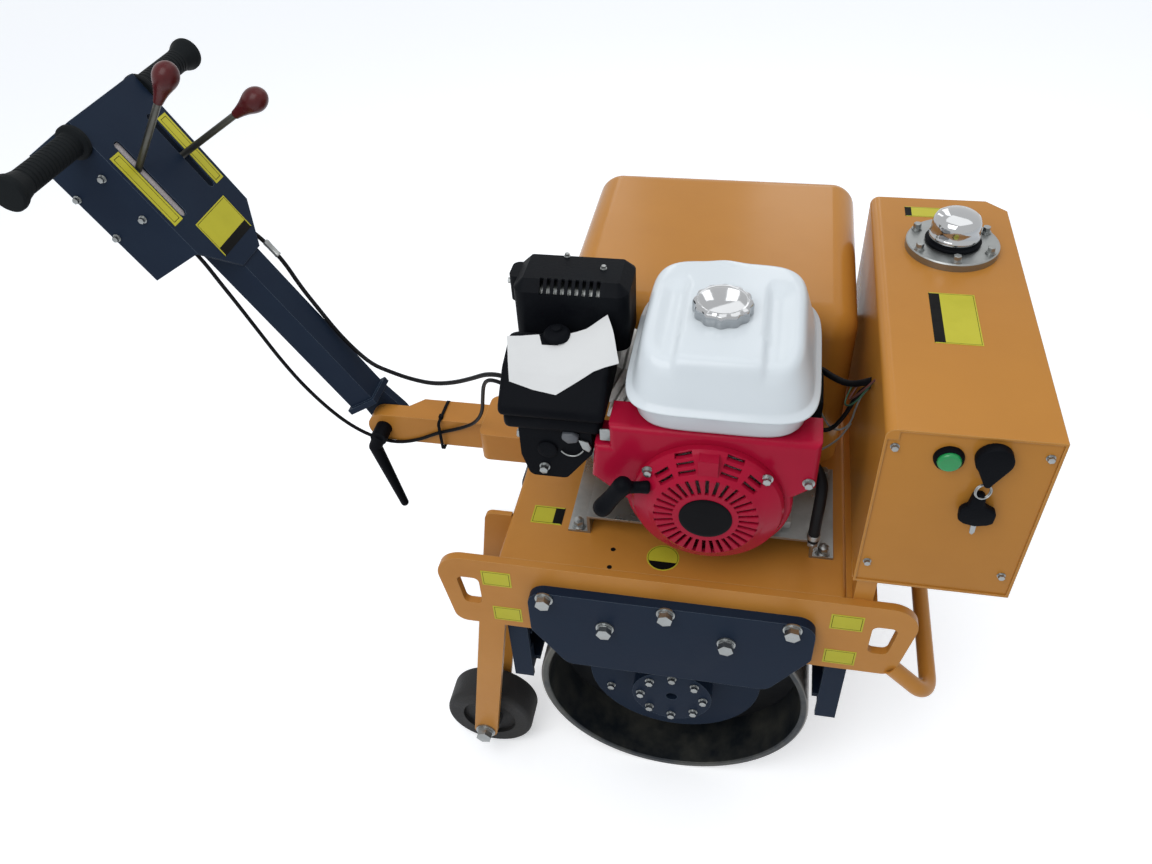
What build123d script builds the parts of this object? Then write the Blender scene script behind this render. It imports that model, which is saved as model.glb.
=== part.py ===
from build123d import *
import math
import os

os.makedirs("parts", exist_ok=True)

# Walk-behind single-drum vibratory roller. Lengths are in millimetres. While the pieces are
# made, X points forward from the drum's axle, Y to the left from the machine's middle and Z up
# from the ground. They are written out with X and Y measured from the middle of the machine.

# --- driving dimensions -----------------------------------------------------------------------
# drum
drum_diameter = 425
drum_width = 600
drum_shell = 12
web_thickness = 12
web_inset = 84
hub_sleeve_radius = 52
hub_sleeve_length = 46
hub_sleeve_proud = 10
exciter_radius = 62
exciter_wall = 9
stub_radius = 30
running_gap = 0.05

# frame
side_gap = 16.5
plate_thickness = 12
frame_top = 534
plate_depth = 143
rear_ear_reach = 343
front_ear_reach = 330
ear_rake = 22
ear_top_radius = 38
ear_bottom_radius = 20
eye_height = 58
eye_width = 34
eye_top_drop = 40
rear_eye_inset = 32
front_eye_inset = 29
deck_rear = -247
deck_front = 228
deck_sheet = 5
deck_bend = 8
apron_depth = 92
rail_size = 40
rail_wall = 4

# rear legs and their wheels
leg_width = 40
leg_top_inset = 75
leg_lean = 8.5
wheel_diameter = 150
wheel_width = 56
wheel_bore = 10
fork_plate = 8
fork_inset = 92
fork_extra = 14
wheel_side_gap = 1.5

# drum hangers
hanger_thickness = 15
hanger_top = 497
hanger_bottom = 336
hanger_knee = 421
hanger_half_top = 203
hanger_half_bottom = 153
hanger_top_radius = 26
carrier_inset = 65
carrier_thickness = 12
carrier_radius = 137
carrier_neck_width = 150
carrier_neck_rise = 165
spacer_width = 40
spacer_height = 30
spacer_offset = 45
boss_radius = 63
boss_length = 35
boss_hole_radius = 9
boss_hole_depth = 25

# scrapers
scraper_half_length = 290
scraper_height = 82
scraper_thickness = 24
scraper_wall = 5
scraper_centre_height = 286
scraper_reach = 222
scraper_blade_gap = 6
scraper_tab_width = 30
scraper_tab_thickness = 8

# bumper
bumper_tube = 24
bumper_wall = 3
bumper_reach = 367
bumper_height = 341
bumper_bend = 34
bumper_foot_x = 303
bumper_foot_z = 404

# drawbar
drawbar_height = 55
drawbar_centre = 483
drawbar_width = 50
drawbar_wall = 6
socket_rear = -352
socket_width = 100
tongue_start = -466
tongue_taper = 22
tongue_width = 29
pivot_x = -528.5
pivot_pin = 8
clamp_hub_radius = 14
clamp_hub_length = 30
clamp_reach = 148
clamp_kick = 21
clamp_neck_drop = 22
clamp_neck_radius = 11
clamp_tip_radius = 7
clamp_nut_radius = 13
clamp_nut_length = 10

# handle, seen along its arm from the pivot
arm_angle = 58.3
arm_size = 48
arm_wall = 4
arm_flange = 60
arm_flange_thickness = 10
arm_flange_start = 49
arm_length = 600
ear_thickness = 16
ear_gap = 1
ear_radius = 34
console_sheet = 3
console_overlap = 188.5
console_length = 229.5
console_half_width = 81
console_height = 100
console_taper = 59.5
slot_length = 129
slot_inset = 53
slot_offset = 44
slot_width = 13
lever_radius = 5
lever_shaft_radius = 8
lever_shaft_inset = 123
lever_shaft_drop = 62
right_lever_lean = 23.5
left_lever_lean = 0
lever_length = 126
lever_eye = 5
lever_eye_width = 12
knob_radius = 17
knob_length = 64
knob_foot = 6.5
knob_overlap = 4
bar_radius = 12
bar_wall = 2.5
bar_inset = 22.7
bar_drop = 16.3
grip_radius = 18
grip_length = 150
grip_flange = 25
grip_flange_length = 9

# engine
crank_x = 38.6
crank_height = 106
engine_rise = 35
engine_front_y = -332.5
case_front_y = -243
case_back_y = -82
case_left = -48
case_right = 137
case_height = 150
case_boss_radius = 52
base_sheet = 4
base_left = -130
base_right = 182
base_foot = 28
shaft_radius = 9.5
shaft_length = 60
cylinder_angle = 25
cylinder_reach = 165
cylinder_size = 88
barrel_inset = 56
head_thickness = 24
fin_count = 7
fin_pitch = 12
fin_thickness = 4
shroud_radius = 105
shroud_front_y = -300
shroud_wall = 3
shroud_round = 8
duct_left = 148
duct_left_rise = 20
duct_shoulder = 143
duct_toe = 30
duct_toe_drop = 80
duct_right = 129
duct_right_rise = 36
duct_cleaner_gap = 6
recoil_radius = 95
recoil_seat = 12
recoil_wall = 4
recoil_face_radius = 70
recoil_shoulder_drop = 6
recoil_rim_depth = 14
recoil_slots = 32
recoil_slot_start = 41
recoil_slot_end = 65
recoil_slot_width = 4.4
louvre_width = 22
louvre_height = 5
louvre_pitch = 9
louvre_start = 73
louvre_angle = 20
louvre_turn = 23
boss_width = 24
boss_drop = 4
grip_bar_radius = 11.5
grip_bar_length = 46
grip_neck_radius = 8
grip_neck_length = 36
grip_stand = 15.5
tank_left = -68
tank_right = 159
tank_near_y = -316
tank_far_y = -80
tank_flange_rise = 251
tank_dome = 58
tank_pan = 36
tank_lip = 9
tank_corner = 44
tank_shoulder = 20
tank_panel_raise = 4.5
tank_panel_front = 108
tank_panel_waist = 104
tank_panel_rear = 58
cap_x = 38
cap_y = -190.5
cap_radius = 31
cap_height = 22
cleaner_left = -226
cleaner_right = -92
cleaner_near_y = -295
cleaner_far_y = -186
cleaner_rim_rise = 197
cleaner_front_wall = 26
cleaner_height = 79
cleaner_slope = 40
cleaner_tray = 10
cleaner_corner = 14
carb_depth = 94
carb_inset = 22
carb_slope = 36
carb_gap = 0.3
carb_corner = 10
carb_pipe_radius = 11
muffler_left = -226
muffler_right = -78
muffler_near_y = -180
muffler_far_y = -98
muffler_rise = 237
guard_height = 94
guard_sheet = 2.5
guard_bevel = 13
guard_corner = 16
guard_gap = 8
guard_slots = 9
guard_slot_pitch = 9
guard_slot_width = 4.5
exhaust_pipe = 32
exhaust_drop = 41
outlet_reach = 12
outlet_size = 36
outlet_drop = 50

# hood over the belt drive and the pump
hood_rear = -198
hood_front = 215
hood_near_y = -68.5
hood_top = 800
hood_radius = 38
hood_sheet = 3
hood_shaft_hole = 22

# hydraulic oil tank
oil_rear = 228
oil_front = 413.5
oil_near_y = -328.5
oil_far_y = 186.5
oil_bottom = 585
oil_top = 844
oil_sheet = 3
oil_corner = 12
panel_inset = 2
filler_x = 328
filler_y = 53.5
filler_radius = 60.5
filler_thickness = 11
filler_cap_radius = 30
filler_cap_height = 36
cradle_post = 25
cradle_far_inset = 60
lamp_x = 299
lamp_z = 809
lamp_radius = 13
switch_x = 348
switch_z = 806
switch_radius = 16

# control cables
cable_diameter = 7
throttle_cable_diameter = 6

# --- places worked out from them --------------------------------------------------------------
axle_height = drum_diameter / 2
half_drum = drum_width / 2
plate_inner = half_drum + side_gap
plate_outer = plate_inner + plate_thickness
plate_bottom = frame_top - plate_depth
carrier_outer = plate_outer - carrier_inset
carrier_inner = carrier_outer - carrier_thickness
web_outer = half_drum - web_inset
wheel_radius = wheel_diameter / 2
fork_outer = plate_outer - fork_inset
fork_inner = fork_outer - fork_plate
console_top = arm_size / 2 + console_sheet
console_start = arm_length - console_overlap
console_end = console_start + console_length
slot_middle_u = console_end - slot_inset - slot_length / 2
lever_shaft_u = console_end - lever_shaft_inset
bar_u = console_end - bar_inset
leg_top_x = leg_top_inset - rear_ear_reach
leg_top_z = plate_bottom + 2.5
leg_slope = math.tan(math.radians(leg_lean))
wheel_x = leg_top_x - (leg_top_z - wheel_radius) * leg_slope
engine_base = frame_top + engine_rise
crank_z = engine_base + crank_height
tank_flange_z = engine_base + tank_flange_rise
tank_top_z = tank_flange_z + tank_dome
tank_bottom_z = tank_flange_z - tank_pan
cleaner_rim = engine_base + cleaner_rim_rise
cleaner_front_top = cleaner_rim + cleaner_front_wall
cleaner_top = cleaner_rim + cleaner_height
carb_bottom = cleaner_rim - carb_depth
muffler_bottom = engine_base + muffler_rise
muffler_top = muffler_bottom + guard_height


# --- small helpers ----------------------------------------------------------------------------
def block(x0, x1, y0, y1, z0, z1):
    return Pos((x0 + x1) / 2, (y0 + y1) / 2, (z0 + z1) / 2) * Box(x1 - x0, y1 - y0, z1 - z0)


def face_xz(points):
    """A face in the plane y = 0 from corner points (x, z)."""
    return make_face(Polyline([(x, 0, z) for x, z in points], close=True))


def nearest(face, x, z):
    return face.vertices().sort_by_distance((x, 0, z))[0]


def round_corners(face, corners):
    """Rounds the corners nearest to (x, z) with each radius."""
    for x, z, radius in corners:
        face = fillet(nearest(face, x, z), radius)
    return face


def plate_xz(face, y0, y1):
    """A plate between y0 and y1 from a face in the plane y = 0."""
    return Pos(0, y0, 0) * extrude(face, amount=y1 - y0, dir=(0, 1, 0))


def pin_y(x, z, radius, y0, y1):
    """A round bar along Y."""
    return Pos(x, (y0 + y1) / 2, z) * Rot(90, 0, 0) * Cylinder(radius, y1 - y0)


def disc_xz(x, z, radius):
    """A round face in the plane y = 0."""
    return Plane(origin=(x, 0, z), x_dir=(1, 0, 0), z_dir=(0, -1, 0)) * Circle(radius)


def mirrored(shape):
    return mirror(shape, about=Plane.XZ)


# --- drum -------------------------------------------------------------------------------------
def make_drum_shell():
    tube = pin_y(0, axle_height, drum_diameter / 2, -half_drum, half_drum)
    tube -= pin_y(0, axle_height, drum_diameter / 2 - drum_shell, -half_drum, half_drum)
    rims = tube.edges().filter_by(GeomType.CIRCLE)
    return chamfer(rims, 2)


def make_drum_webs():
    """Two end webs, each with the sleeve that turns on a stub axle, and the exciter tube."""
    bore = stub_radius + running_gap
    web = pin_y(0, axle_height, drum_diameter / 2 - drum_shell, web_outer - web_thickness, web_outer)
    web += pin_y(0, axle_height, hub_sleeve_radius, web_outer - hub_sleeve_length, web_outer + hub_sleeve_proud)
    web -= pin_y(0, axle_height, bore, web_outer - hub_sleeve_length, web_outer + hub_sleeve_proud)
    tube_end = web_outer - web_thickness
    tube = pin_y(0, axle_height, exciter_radius, -tube_end, tube_end)
    tube -= pin_y(0, axle_height, exciter_radius - exciter_wall, -tube_end, tube_end)
    return web + mirrored(web) + tube


# --- frame ------------------------------------------------------------------------------------
def make_leg(width_behind, top_z, y0, y1):
    """The raked leg, from top_z down to its round end at the wheel's axle."""
    half = leg_width / 2
    lift = top_z - wheel_radius
    top_x = wheel_x + lift * leg_slope
    face = face_xz(
        [
            (top_x - half - width_behind, top_z),
            (top_x + half, top_z),
            (wheel_x + half, wheel_radius),
            (wheel_x - half, wheel_radius),
        ]
    )
    return plate_xz(face, y0, y1) + pin_y(wheel_x, wheel_radius, half, y0, y1)


def eye_face(outer_x, inner_x):
    """A lifting eye, straight on its inner side and raked with the ear on its outer side."""
    z1 = frame_top - eye_top_drop
    z0 = z1 - eye_height
    rake = (outer_x - inner_x) * 0.22
    eye = face_xz([(inner_x, z0), (outer_x - rake, z0), (outer_x, z1), (inner_x, z1)])
    return fillet(eye.vertices(), 9)


def make_side_plate():
    front_low = front_ear_reach - ear_rake
    rear_low = rear_ear_reach - ear_rake
    face = face_xz(
        [
            (-rear_ear_reach, frame_top),
            (front_ear_reach, frame_top),
            (front_low, plate_bottom),
            (-rear_low, plate_bottom),
        ]
    )
    face = round_corners(
        face,
        [
            (-rear_ear_reach, frame_top, ear_top_radius),
            (front_ear_reach, frame_top, ear_top_radius),
            (front_low, plate_bottom, ear_bottom_radius),
            (-rear_low, plate_bottom, ear_bottom_radius),
        ],
    )
    plate = plate_xz(face, plate_inner, plate_outer)
    plate += make_leg(0, plate_bottom + 30, plate_inner, plate_outer)
    rear_eye = -rear_ear_reach + rear_eye_inset
    front_eye = front_ear_reach - front_eye_inset
    plate -= plate_xz(eye_face(rear_eye, rear_eye + eye_width), plate_inner - 1, plate_outer + 1)
    return plate - plate_xz(eye_face(front_eye, front_eye - eye_width), plate_inner - 1, plate_outer + 1)


def make_fork_plates():
    """The inner cheek of each rear leg, welded to the back of the deck."""
    z0 = frame_top - apron_depth
    plate = make_leg(0, plate_bottom, fork_inner, fork_outer)
    face = face_xz(
        [
            (deck_rear - leg_width, frame_top - 2),
            (deck_rear, frame_top - 2),
            (deck_rear, z0),
            (leg_top_x + leg_width / 2, plate_bottom - 1),
            (leg_top_x - leg_width / 2, plate_bottom - 1),
            (leg_top_x - leg_width / 2 - fork_extra, z0 - 10),
        ]
    )
    face = round_corners(face, [(deck_rear - leg_width, frame_top - 2, 14)])
    plate += plate_xz(face, fork_inner, fork_outer)
    return mirrored(plate) + plate


def make_wheel_axles():
    pin = pin_y(wheel_x, wheel_radius, wheel_bore, fork_outer, plate_inner)
    return pin + mirrored(pin)


def make_support_wheel():
    """A solid rubber tyre on a plain hub."""
    middle = (fork_outer + plate_inner) / 2
    hub_half = (plate_inner - fork_outer) / 2 - wheel_side_gap
    tyre = pin_y(wheel_x, wheel_radius, wheel_radius, middle - wheel_width / 2, middle + wheel_width / 2)
    tyre = fillet(tyre.edges().filter_by(GeomType.CIRCLE), 8)
    dish = 8
    for y0, y1 in (
        (middle - wheel_width / 2, middle - wheel_width / 2 + dish),
        (middle + wheel_width / 2 - dish, middle + wheel_width / 2),
    ):
        tyre -= pin_y(wheel_x, wheel_radius, wheel_radius * 0.62, y0, y1)
    tyre += pin_y(wheel_x, wheel_radius, wheel_radius * 0.3, middle - hub_half, middle + hub_half)
    return tyre - pin_y(wheel_x, wheel_radius, wheel_bore + running_gap, middle - hub_half, middle + hub_half)


def make_deck():
    """Bent sheet: the top with an apron down at the back and at the front."""
    z0 = frame_top - apron_depth
    outer = face_xz([(deck_rear, z0), (deck_rear, frame_top), (deck_front, frame_top), (deck_front, z0)])
    outer = round_corners(outer, [(deck_rear, frame_top, deck_bend), (deck_front, frame_top, deck_bend)])
    t = deck_sheet
    inner = face_xz(
        [(deck_rear + t, z0 - 1), (deck_rear + t, frame_top - t), (deck_front - t, frame_top - t), (deck_front - t, z0 - 1)]
    )
    return plate_xz(outer - inner, -plate_inner, plate_inner)


def make_front_rail():
    """Square tube across the front, between the side plates."""
    x0 = deck_front
    tube = block(x0, x0 + rail_size, -plate_inner, plate_inner, frame_top - rail_size - 6, frame_top - 6)
    w = rail_wall
    return tube - block(
        x0 + w, x0 + rail_size - w, -plate_inner, plate_inner, frame_top - rail_size - 6 + w, frame_top - 6 - w
    )


# --- drum hangers -----------------------------------------------------------------------------
def make_hanger():
    """Thick plate bolted outside the side plate, with two blocks in to the hub carrier."""
    face = face_xz(
        [
            (-hanger_half_top, hanger_top),
            (hanger_half_top - 8, hanger_top),
            (hanger_half_top - 8, hanger_knee),
            (hanger_half_bottom - 12, hanger_bottom),
            (-hanger_half_bottom, hanger_bottom),
            (-hanger_half_top, hanger_knee - 10),
        ]
    )
    face = round_corners(
        face,
        [
            (-hanger_half_top, hanger_top, hanger_top_radius),
            (hanger_half_top - 8, hanger_top, hanger_top_radius),
            (hanger_half_top - 8, hanger_knee, 16),
            (hanger_half_bottom - 12, hanger_bottom, 20),
            (-hanger_half_bottom, hanger_bottom, 20),
            (-hanger_half_top, hanger_knee - 10, 16),
        ],
    )
    plate = plate_xz(face, plate_outer, plate_outer + hanger_thickness)
    z1 = axle_height + carrier_neck_rise - 2
    for x in (-spacer_offset, spacer_offset):
        plate += block(
            x - spacer_width / 2, x + spacer_width / 2, carrier_outer, plate_outer, z1 - spacer_height, z1
        )
    return plate


def make_hub_carrier():
    """Round carrier with its neck, the bolted hub boss in front and the stub axle behind."""
    half = carrier_neck_width / 2
    face = disc_xz(0, axle_height, carrier_radius)
    neck = face_xz(
        [
            (-half, axle_height),
            (half, axle_height),
            (half, axle_height + carrier_neck_rise),
            (-half, axle_height + carrier_neck_rise),
        ]
    )
    carrier = plate_xz(face + neck, carrier_inner, carrier_outer)
    carrier += pin_y(0, axle_height, boss_radius, carrier_outer, carrier_outer + boss_length)
    carrier += pin_y(0, axle_height, stub_radius, web_outer - hub_sleeve_length, carrier_inner)
    front = carrier_outer + boss_length
    return carrier - pin_y(0, axle_height, boss_hole_radius, front - boss_hole_depth, front)


# --- scrapers ---------------------------------------------------------------------------------
def make_scraper(side):
    """A channel across the drum with its blade and a tab up to each side plate; side is +1 in front."""
    x_back = side * (scraper_reach + scraper_thickness)
    x_face = side * scraper_reach
    z0 = scraper_centre_height - scraper_height / 2
    z1 = scraper_centre_height + scraper_height / 2
    lo, hi = sorted((x_back, x_face))
    bar = block(lo, hi, -scraper_half_length, scraper_half_length, z0, z1)
    lo_in, hi_in = sorted((x_back - side * scraper_wall, x_face))
    bar -= block(
        lo_in, hi_in, -scraper_half_length, scraper_half_length, z0 + scraper_wall, z1 - scraper_wall
    )
    blade_z = z0 + 14
    drop = axle_height - blade_z
    surface = math.sqrt((drum_diameter / 2) ** 2 - drop**2)
    blade_lo, blade_hi = sorted((side * (surface + scraper_blade_gap), x_back - side * scraper_wall))
    bar += block(
        blade_lo, blade_hi, -scraper_half_length, scraper_half_length, blade_z - 4, blade_z + 4
    )
    for y_side in (-1, 1):
        y_a, y_b = sorted((y_side * scraper_half_length, y_side * plate_inner))
        centre = (x_back + x_face) / 2
        y_t = sorted((y_side * (plate_inner - scraper_tab_thickness), y_side * plate_inner))
        bar += block(lo, hi, y_a, y_b, z0, z1 - 30)
        bar += block(
            centre - scraper_tab_width / 2, centre + scraper_tab_width / 2, y_t[0], y_t[1], z0, plate_bottom + 34
        )
    return bar


# --- bumper -----------------------------------------------------------------------------------
def make_bumper():
    """Bent tube from one front ear, round the front and back to the other."""
    y = (plate_inner + plate_outer) / 2
    path = FilletPolyline(
        [
            (bumper_foot_x, -y, bumper_foot_z),
            (bumper_reach, -y, bumper_height),
            (bumper_reach, y, bumper_height),
            (bumper_foot_x, y, bumper_foot_z),
        ],
        radius=bumper_bend,
    )
    start = path.location_at(0)
    outer = sweep(Plane(start.position, z_dir=path % 0) * Circle(bumper_tube / 2), path=path)
    inner = sweep(Plane(start.position, z_dir=path % 0) * Circle(bumper_tube / 2 - bumper_wall), path=path)
    tube = outer - inner
    for side in (-1, 1):
        y_a, y_b = sorted((side * plate_inner, side * plate_outer))
        ear = make_side_plate() if side > 0 else mirrored(make_side_plate())
        tube -= ear
    return tube


# --- drawbar ----------------------------------------------------------------------------------
def make_drawbar_socket():
    z0 = drawbar_centre - drawbar_height / 2
    z1 = drawbar_centre + drawbar_height / 2
    half = socket_width / 2
    socket = block(socket_rear, deck_rear, -half, half, z0, z1)
    rear_corners = socket.edges().filter_by(Axis.Z).group_by(Axis.X)[0]
    socket = fillet(rear_corners, 14)
    w = drawbar_wall
    return socket - block(socket_rear + w, deck_rear, w - half, half - w, z0 + w, z1 - w)


def make_drawbar():
    """Square tube that ends in a narrower tongue for the handle's pivot."""
    z0 = drawbar_centre - drawbar_height / 2
    half = drawbar_width / 2
    inner_y = tongue_width - half
    plan = make_face(
        Polyline(
            [
                (socket_rear, -half),
                (socket_rear, half),
                (tongue_start, half),
                (tongue_start - tongue_taper, inner_y),
                (pivot_x - drawbar_height, inner_y),
                (pivot_x - drawbar_height, -half),
            ],
            close=True,
        )
    )
    bar = Pos(0, 0, z0) * extrude(plan, amount=drawbar_height, dir=(0, 0, 1))
    side = face_xz(
        [
            (pivot_x, z0),
            (socket_rear, z0),
            (socket_rear, z0 + drawbar_height),
            (pivot_x, z0 + drawbar_height),
        ]
    ) + disc_xz(pivot_x, drawbar_centre, drawbar_height / 2)
    bar = bar & plate_xz(side, -half, half)
    w = drawbar_wall
    bar -= block(tongue_start + 4, socket_rear, w - half, half - w, z0 + w, z0 + drawbar_height - w)
    return bar - pin_y(pivot_x, drawbar_centre, pivot_pin, -half, half)


# --- handle -----------------------------------------------------------------------------------
# Handle places are (u, y, n): u along the arm from the pivot, n square to it on the upper side.
handle_plane = Plane(
    origin=(pivot_x, 0, drawbar_centre),
    x_dir=(-math.cos(math.radians(arm_angle)), 0, math.sin(math.radians(arm_angle))),
    z_dir=(math.sin(math.radians(arm_angle)), 0, math.cos(math.radians(arm_angle))),
)


def in_handle(shape):
    """Moves a shape modelled along u, -y and n into its place on the handle."""
    return handle_plane.location * shape


def bar_y(u, n, radius, y0, y1):
    return Pos(u, -(y0 + y1) / 2, n) * Rot(90, 0, 0) * Cylinder(radius, y1 - y0)


def block_u(u0, u1, y0, y1, n0, n1):
    return block(u0, u1, -y1, -y0, n0, n1)


def make_arm():
    half = arm_size / 2
    w = arm_wall
    tube_start = arm_flange_start + arm_flange_thickness
    arm = block_u(tube_start, arm_length, -half, half, -half, half)
    arm -= block_u(tube_start, arm_length, w - half, half - w, w - half, half - w)
    flange_half = arm_flange / 2
    arm += block_u(arm_flange_start, tube_start, -flange_half, flange_half, -flange_half, flange_half)
    ear_y0 = tongue_width - drawbar_width / 2 + ear_gap
    ear_y1 = ear_y0 + ear_thickness
    hull = make_face(
        Polyline(
            [
                (arm_flange_start, 0, -flange_half + 2),
                (arm_flange_start, 0, flange_half - 2),
                (4, 0, ear_radius),
                (-4, 0, -ear_radius + 1),
            ],
            close=True,
        )
    ) + disc_xz(0, 0, ear_radius)
    ear = plate_xz(hull, -ear_y1, -ear_y0)
    arm += ear
    arm -= bar_y(0, 0, pivot_pin + running_gap * 2, ear_y0, ear_y1)
    return in_handle(arm)


def make_console():
    """Folded sheet: top with its taper, two sides and the operator's end, open below."""
    w = console_half_width
    t = console_sheet
    top = make_face(
        Polyline(
            [
                (console_start - console_taper, -arm_size / 2 - 4),
                (console_start - console_taper, arm_size / 2 + 4),
                (console_start, w),
                (console_end, w),
                (console_end, -w),
                (console_start, -w),
            ],
            close=True,
        )
    )
    for y in (-slot_offset, slot_offset):
        top -= Pos(slot_middle_u, y) * SlotOverall(slot_length, slot_width)
    n1 = console_top
    shell = Pos(0, 0, n1 - t) * extrude(top, amount=t, dir=(0, 0, 1))
    n0 = console_top - console_height
    for y in (-w, w - t):
        shell += block_u(console_start, console_end, y, y + t, n0, n1)
    shell += block_u(console_end - t, console_end, -w, w, n0, n1)
    n_bar = console_top - bar_drop
    shell -= bar_y(bar_u, n_bar, bar_radius, -w, w)
    # cross plate under the top that the arm's end is welded into
    cheek = block_u(console_start + 12, console_start + 18, -w + t, w - t, n0 + 30, n1 - t)
    cheek -= block_u(console_start, console_start + 30, -arm_size / 2, arm_size / 2, -arm_size / 2, n1)
    return in_handle(shell + cheek)


def make_lever_shaft():
    w = console_half_width - console_sheet
    return in_handle(bar_y(lever_shaft_u, console_top - lever_shaft_drop, lever_shaft_radius, -w, w))


def lever(y, lean):
    """A rod from the shaft up through its slot, and its pear knob."""
    n0 = console_top - lever_shaft_drop
    total = lever_shaft_drop + lever_length
    eye = Rot(90, 0, 0) * Cylinder(lever_shaft_radius + lever_eye, lever_eye_width)
    rod = Pos(0, 0, total / 2) * Cylinder(lever_radius, total)
    rod += eye
    rod -= Rot(90, 0, 0) * Cylinder(lever_shaft_radius, lever_eye_width)
    outline = Spline(
        [
            (knob_foot, 0, 0),
            (knob_radius * 0.72, 0, knob_length * 0.38),
            (knob_radius, 0, knob_length * 0.74),
            (0, 0, knob_length),
        ],
        tangents=[(0.15, 0, 1), (-1, 0, 0)],
    )
    profile = make_face(outline + Line((0, 0, knob_length), (0, 0, 0)) + Line((0, 0, 0), (knob_foot, 0, 0)))
    knob = Pos(0, 0, total - knob_overlap) * revolve(profile, Axis.Z)
    knob -= rod
    place = Pos(lever_shaft_u, -y, n0) * Rot(0, lean, 0)
    return in_handle(place * rod), in_handle(place * knob)


def make_handlebar():
    n = console_top - bar_drop
    reach = console_half_width + grip_length - 4
    bar = bar_y(bar_u, n, bar_radius, -reach, reach)
    bar -= bar_y(bar_u, n, bar_radius - bar_wall, -reach, reach)
    return in_handle(bar)


def make_grips():
    n = console_top - bar_drop
    y0 = console_half_width
    y1 = console_half_width + grip_length
    grip = bar_y(bar_u, n, grip_radius, y0, y1)
    grip += bar_y(bar_u, n, grip_flange, y0, y0 + grip_flange_length)
    grip += bar_y(bar_u, n, grip_flange - 1, y1 - grip_flange_length, y1)
    grip -= bar_y(bar_u, n, bar_radius, y0, y1 - 4)
    grip = in_handle(grip)
    return grip + mirrored(grip)


def make_clamp_bolt():
    half = drawbar_width / 2
    nut_y = tongue_width - half + ear_gap * 2 + ear_thickness
    end = nut_y + clamp_nut_length - ear_gap
    bolt = pin_y(pivot_x, drawbar_centre, pivot_pin, -half - clamp_hub_length * 0.4, end)
    return bolt + pin_y(pivot_x, drawbar_centre, clamp_nut_radius, nut_y, end)


def make_clamp_lever():
    half = drawbar_width / 2
    hub_end = half + clamp_hub_length
    hub = pin_y(pivot_x, drawbar_centre, clamp_hub_radius, -hub_end, -half)
    neck = clamp_neck_radius
    start = Vector(pivot_x, 9 - hub_end, drawbar_centre)
    bend = Vector(pivot_x - clamp_neck_drop / 2, 4 - hub_end, drawbar_centre - clamp_neck_drop)
    tip = Vector(pivot_x + clamp_kick, -3 - hub_end, drawbar_centre - clamp_reach)
    for a, b, ra, rb in ((start, bend, neck + 1, neck), (bend, tip, neck, clamp_tip_radius)):
        axis = b - a
        hub += Plane(a, z_dir=axis) * Pos(0, 0, axis.length / 2) * Cone(ra, rb, axis.length)
    hub += Pos(bend) * Sphere(neck)
    hub += Pos(tip) * Sphere(clamp_tip_radius)
    return hub - pin_y(pivot_x, drawbar_centre, pivot_pin, -half - clamp_hub_length * 0.4, -half)


# --- engine -----------------------------------------------------------------------------------
def make_engine_base():
    """Hat-shaped bent sheet under the engine, with a foot along each side."""
    t = base_sheet
    z1 = engine_base
    face = face_xz(
        [
            (base_left - base_foot, frame_top),
            (base_left - base_foot, frame_top + t),
            (base_left, frame_top + t),
            (base_left, z1),
            (base_right, z1),
            (base_right, frame_top + t),
            (base_right + base_foot, frame_top + t),
            (base_right + base_foot, frame_top),
            (base_right - t, frame_top),
            (base_right - t, z1 - t),
            (base_left + t, z1 - t),
            (base_left + t, frame_top),
        ]
    )
    return plate_xz(face, case_front_y - 12, case_back_y)


def make_cylinder():
    """Inclined finned barrel with its head."""
    barrel_y = case_back_y - barrel_inset
    tilt = Pos(crank_x, barrel_y, crank_z) * Rot(0, 180 + cylinder_angle, 0)
    core = cylinder_size - 26
    barrel = Pos(cylinder_reach / 2, 0, 0) * Box(cylinder_reach, core, core)
    for k in range(fin_count):
        x = cylinder_reach - fin_pitch * (k + 1)
        barrel += Pos(x, 0, 0) * Box(fin_thickness, cylinder_size, cylinder_size)
    barrel += Pos(cylinder_reach + head_thickness / 2, 0, 0) * Box(head_thickness, cylinder_size, cylinder_size)
    return tilt * barrel


def make_crankcase():
    """Crankcase with its side cover, flanged foot, cylinder and output shaft."""
    case = block(case_left, case_right, case_front_y, case_back_y, engine_base, engine_base + case_height)
    case = fillet(case.edges().filter_by(Axis.Y).group_by(Axis.Z)[-1], 22)
    case += block(case_left - 12, case_right + 12, case_front_y + 6, case_back_y - 6, engine_base, engine_base + 12)
    case += pin_y(crank_x, crank_z, case_boss_radius, case_back_y - 4, case_back_y + 6)
    case += pin_y(crank_x, crank_z, shaft_radius, case_back_y, case_back_y + shaft_length)
    case += pin_y(crank_x, crank_z, shroud_radius - shroud_wall, case_front_y - 8, case_front_y + 2)
    return case + make_cylinder()


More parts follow.
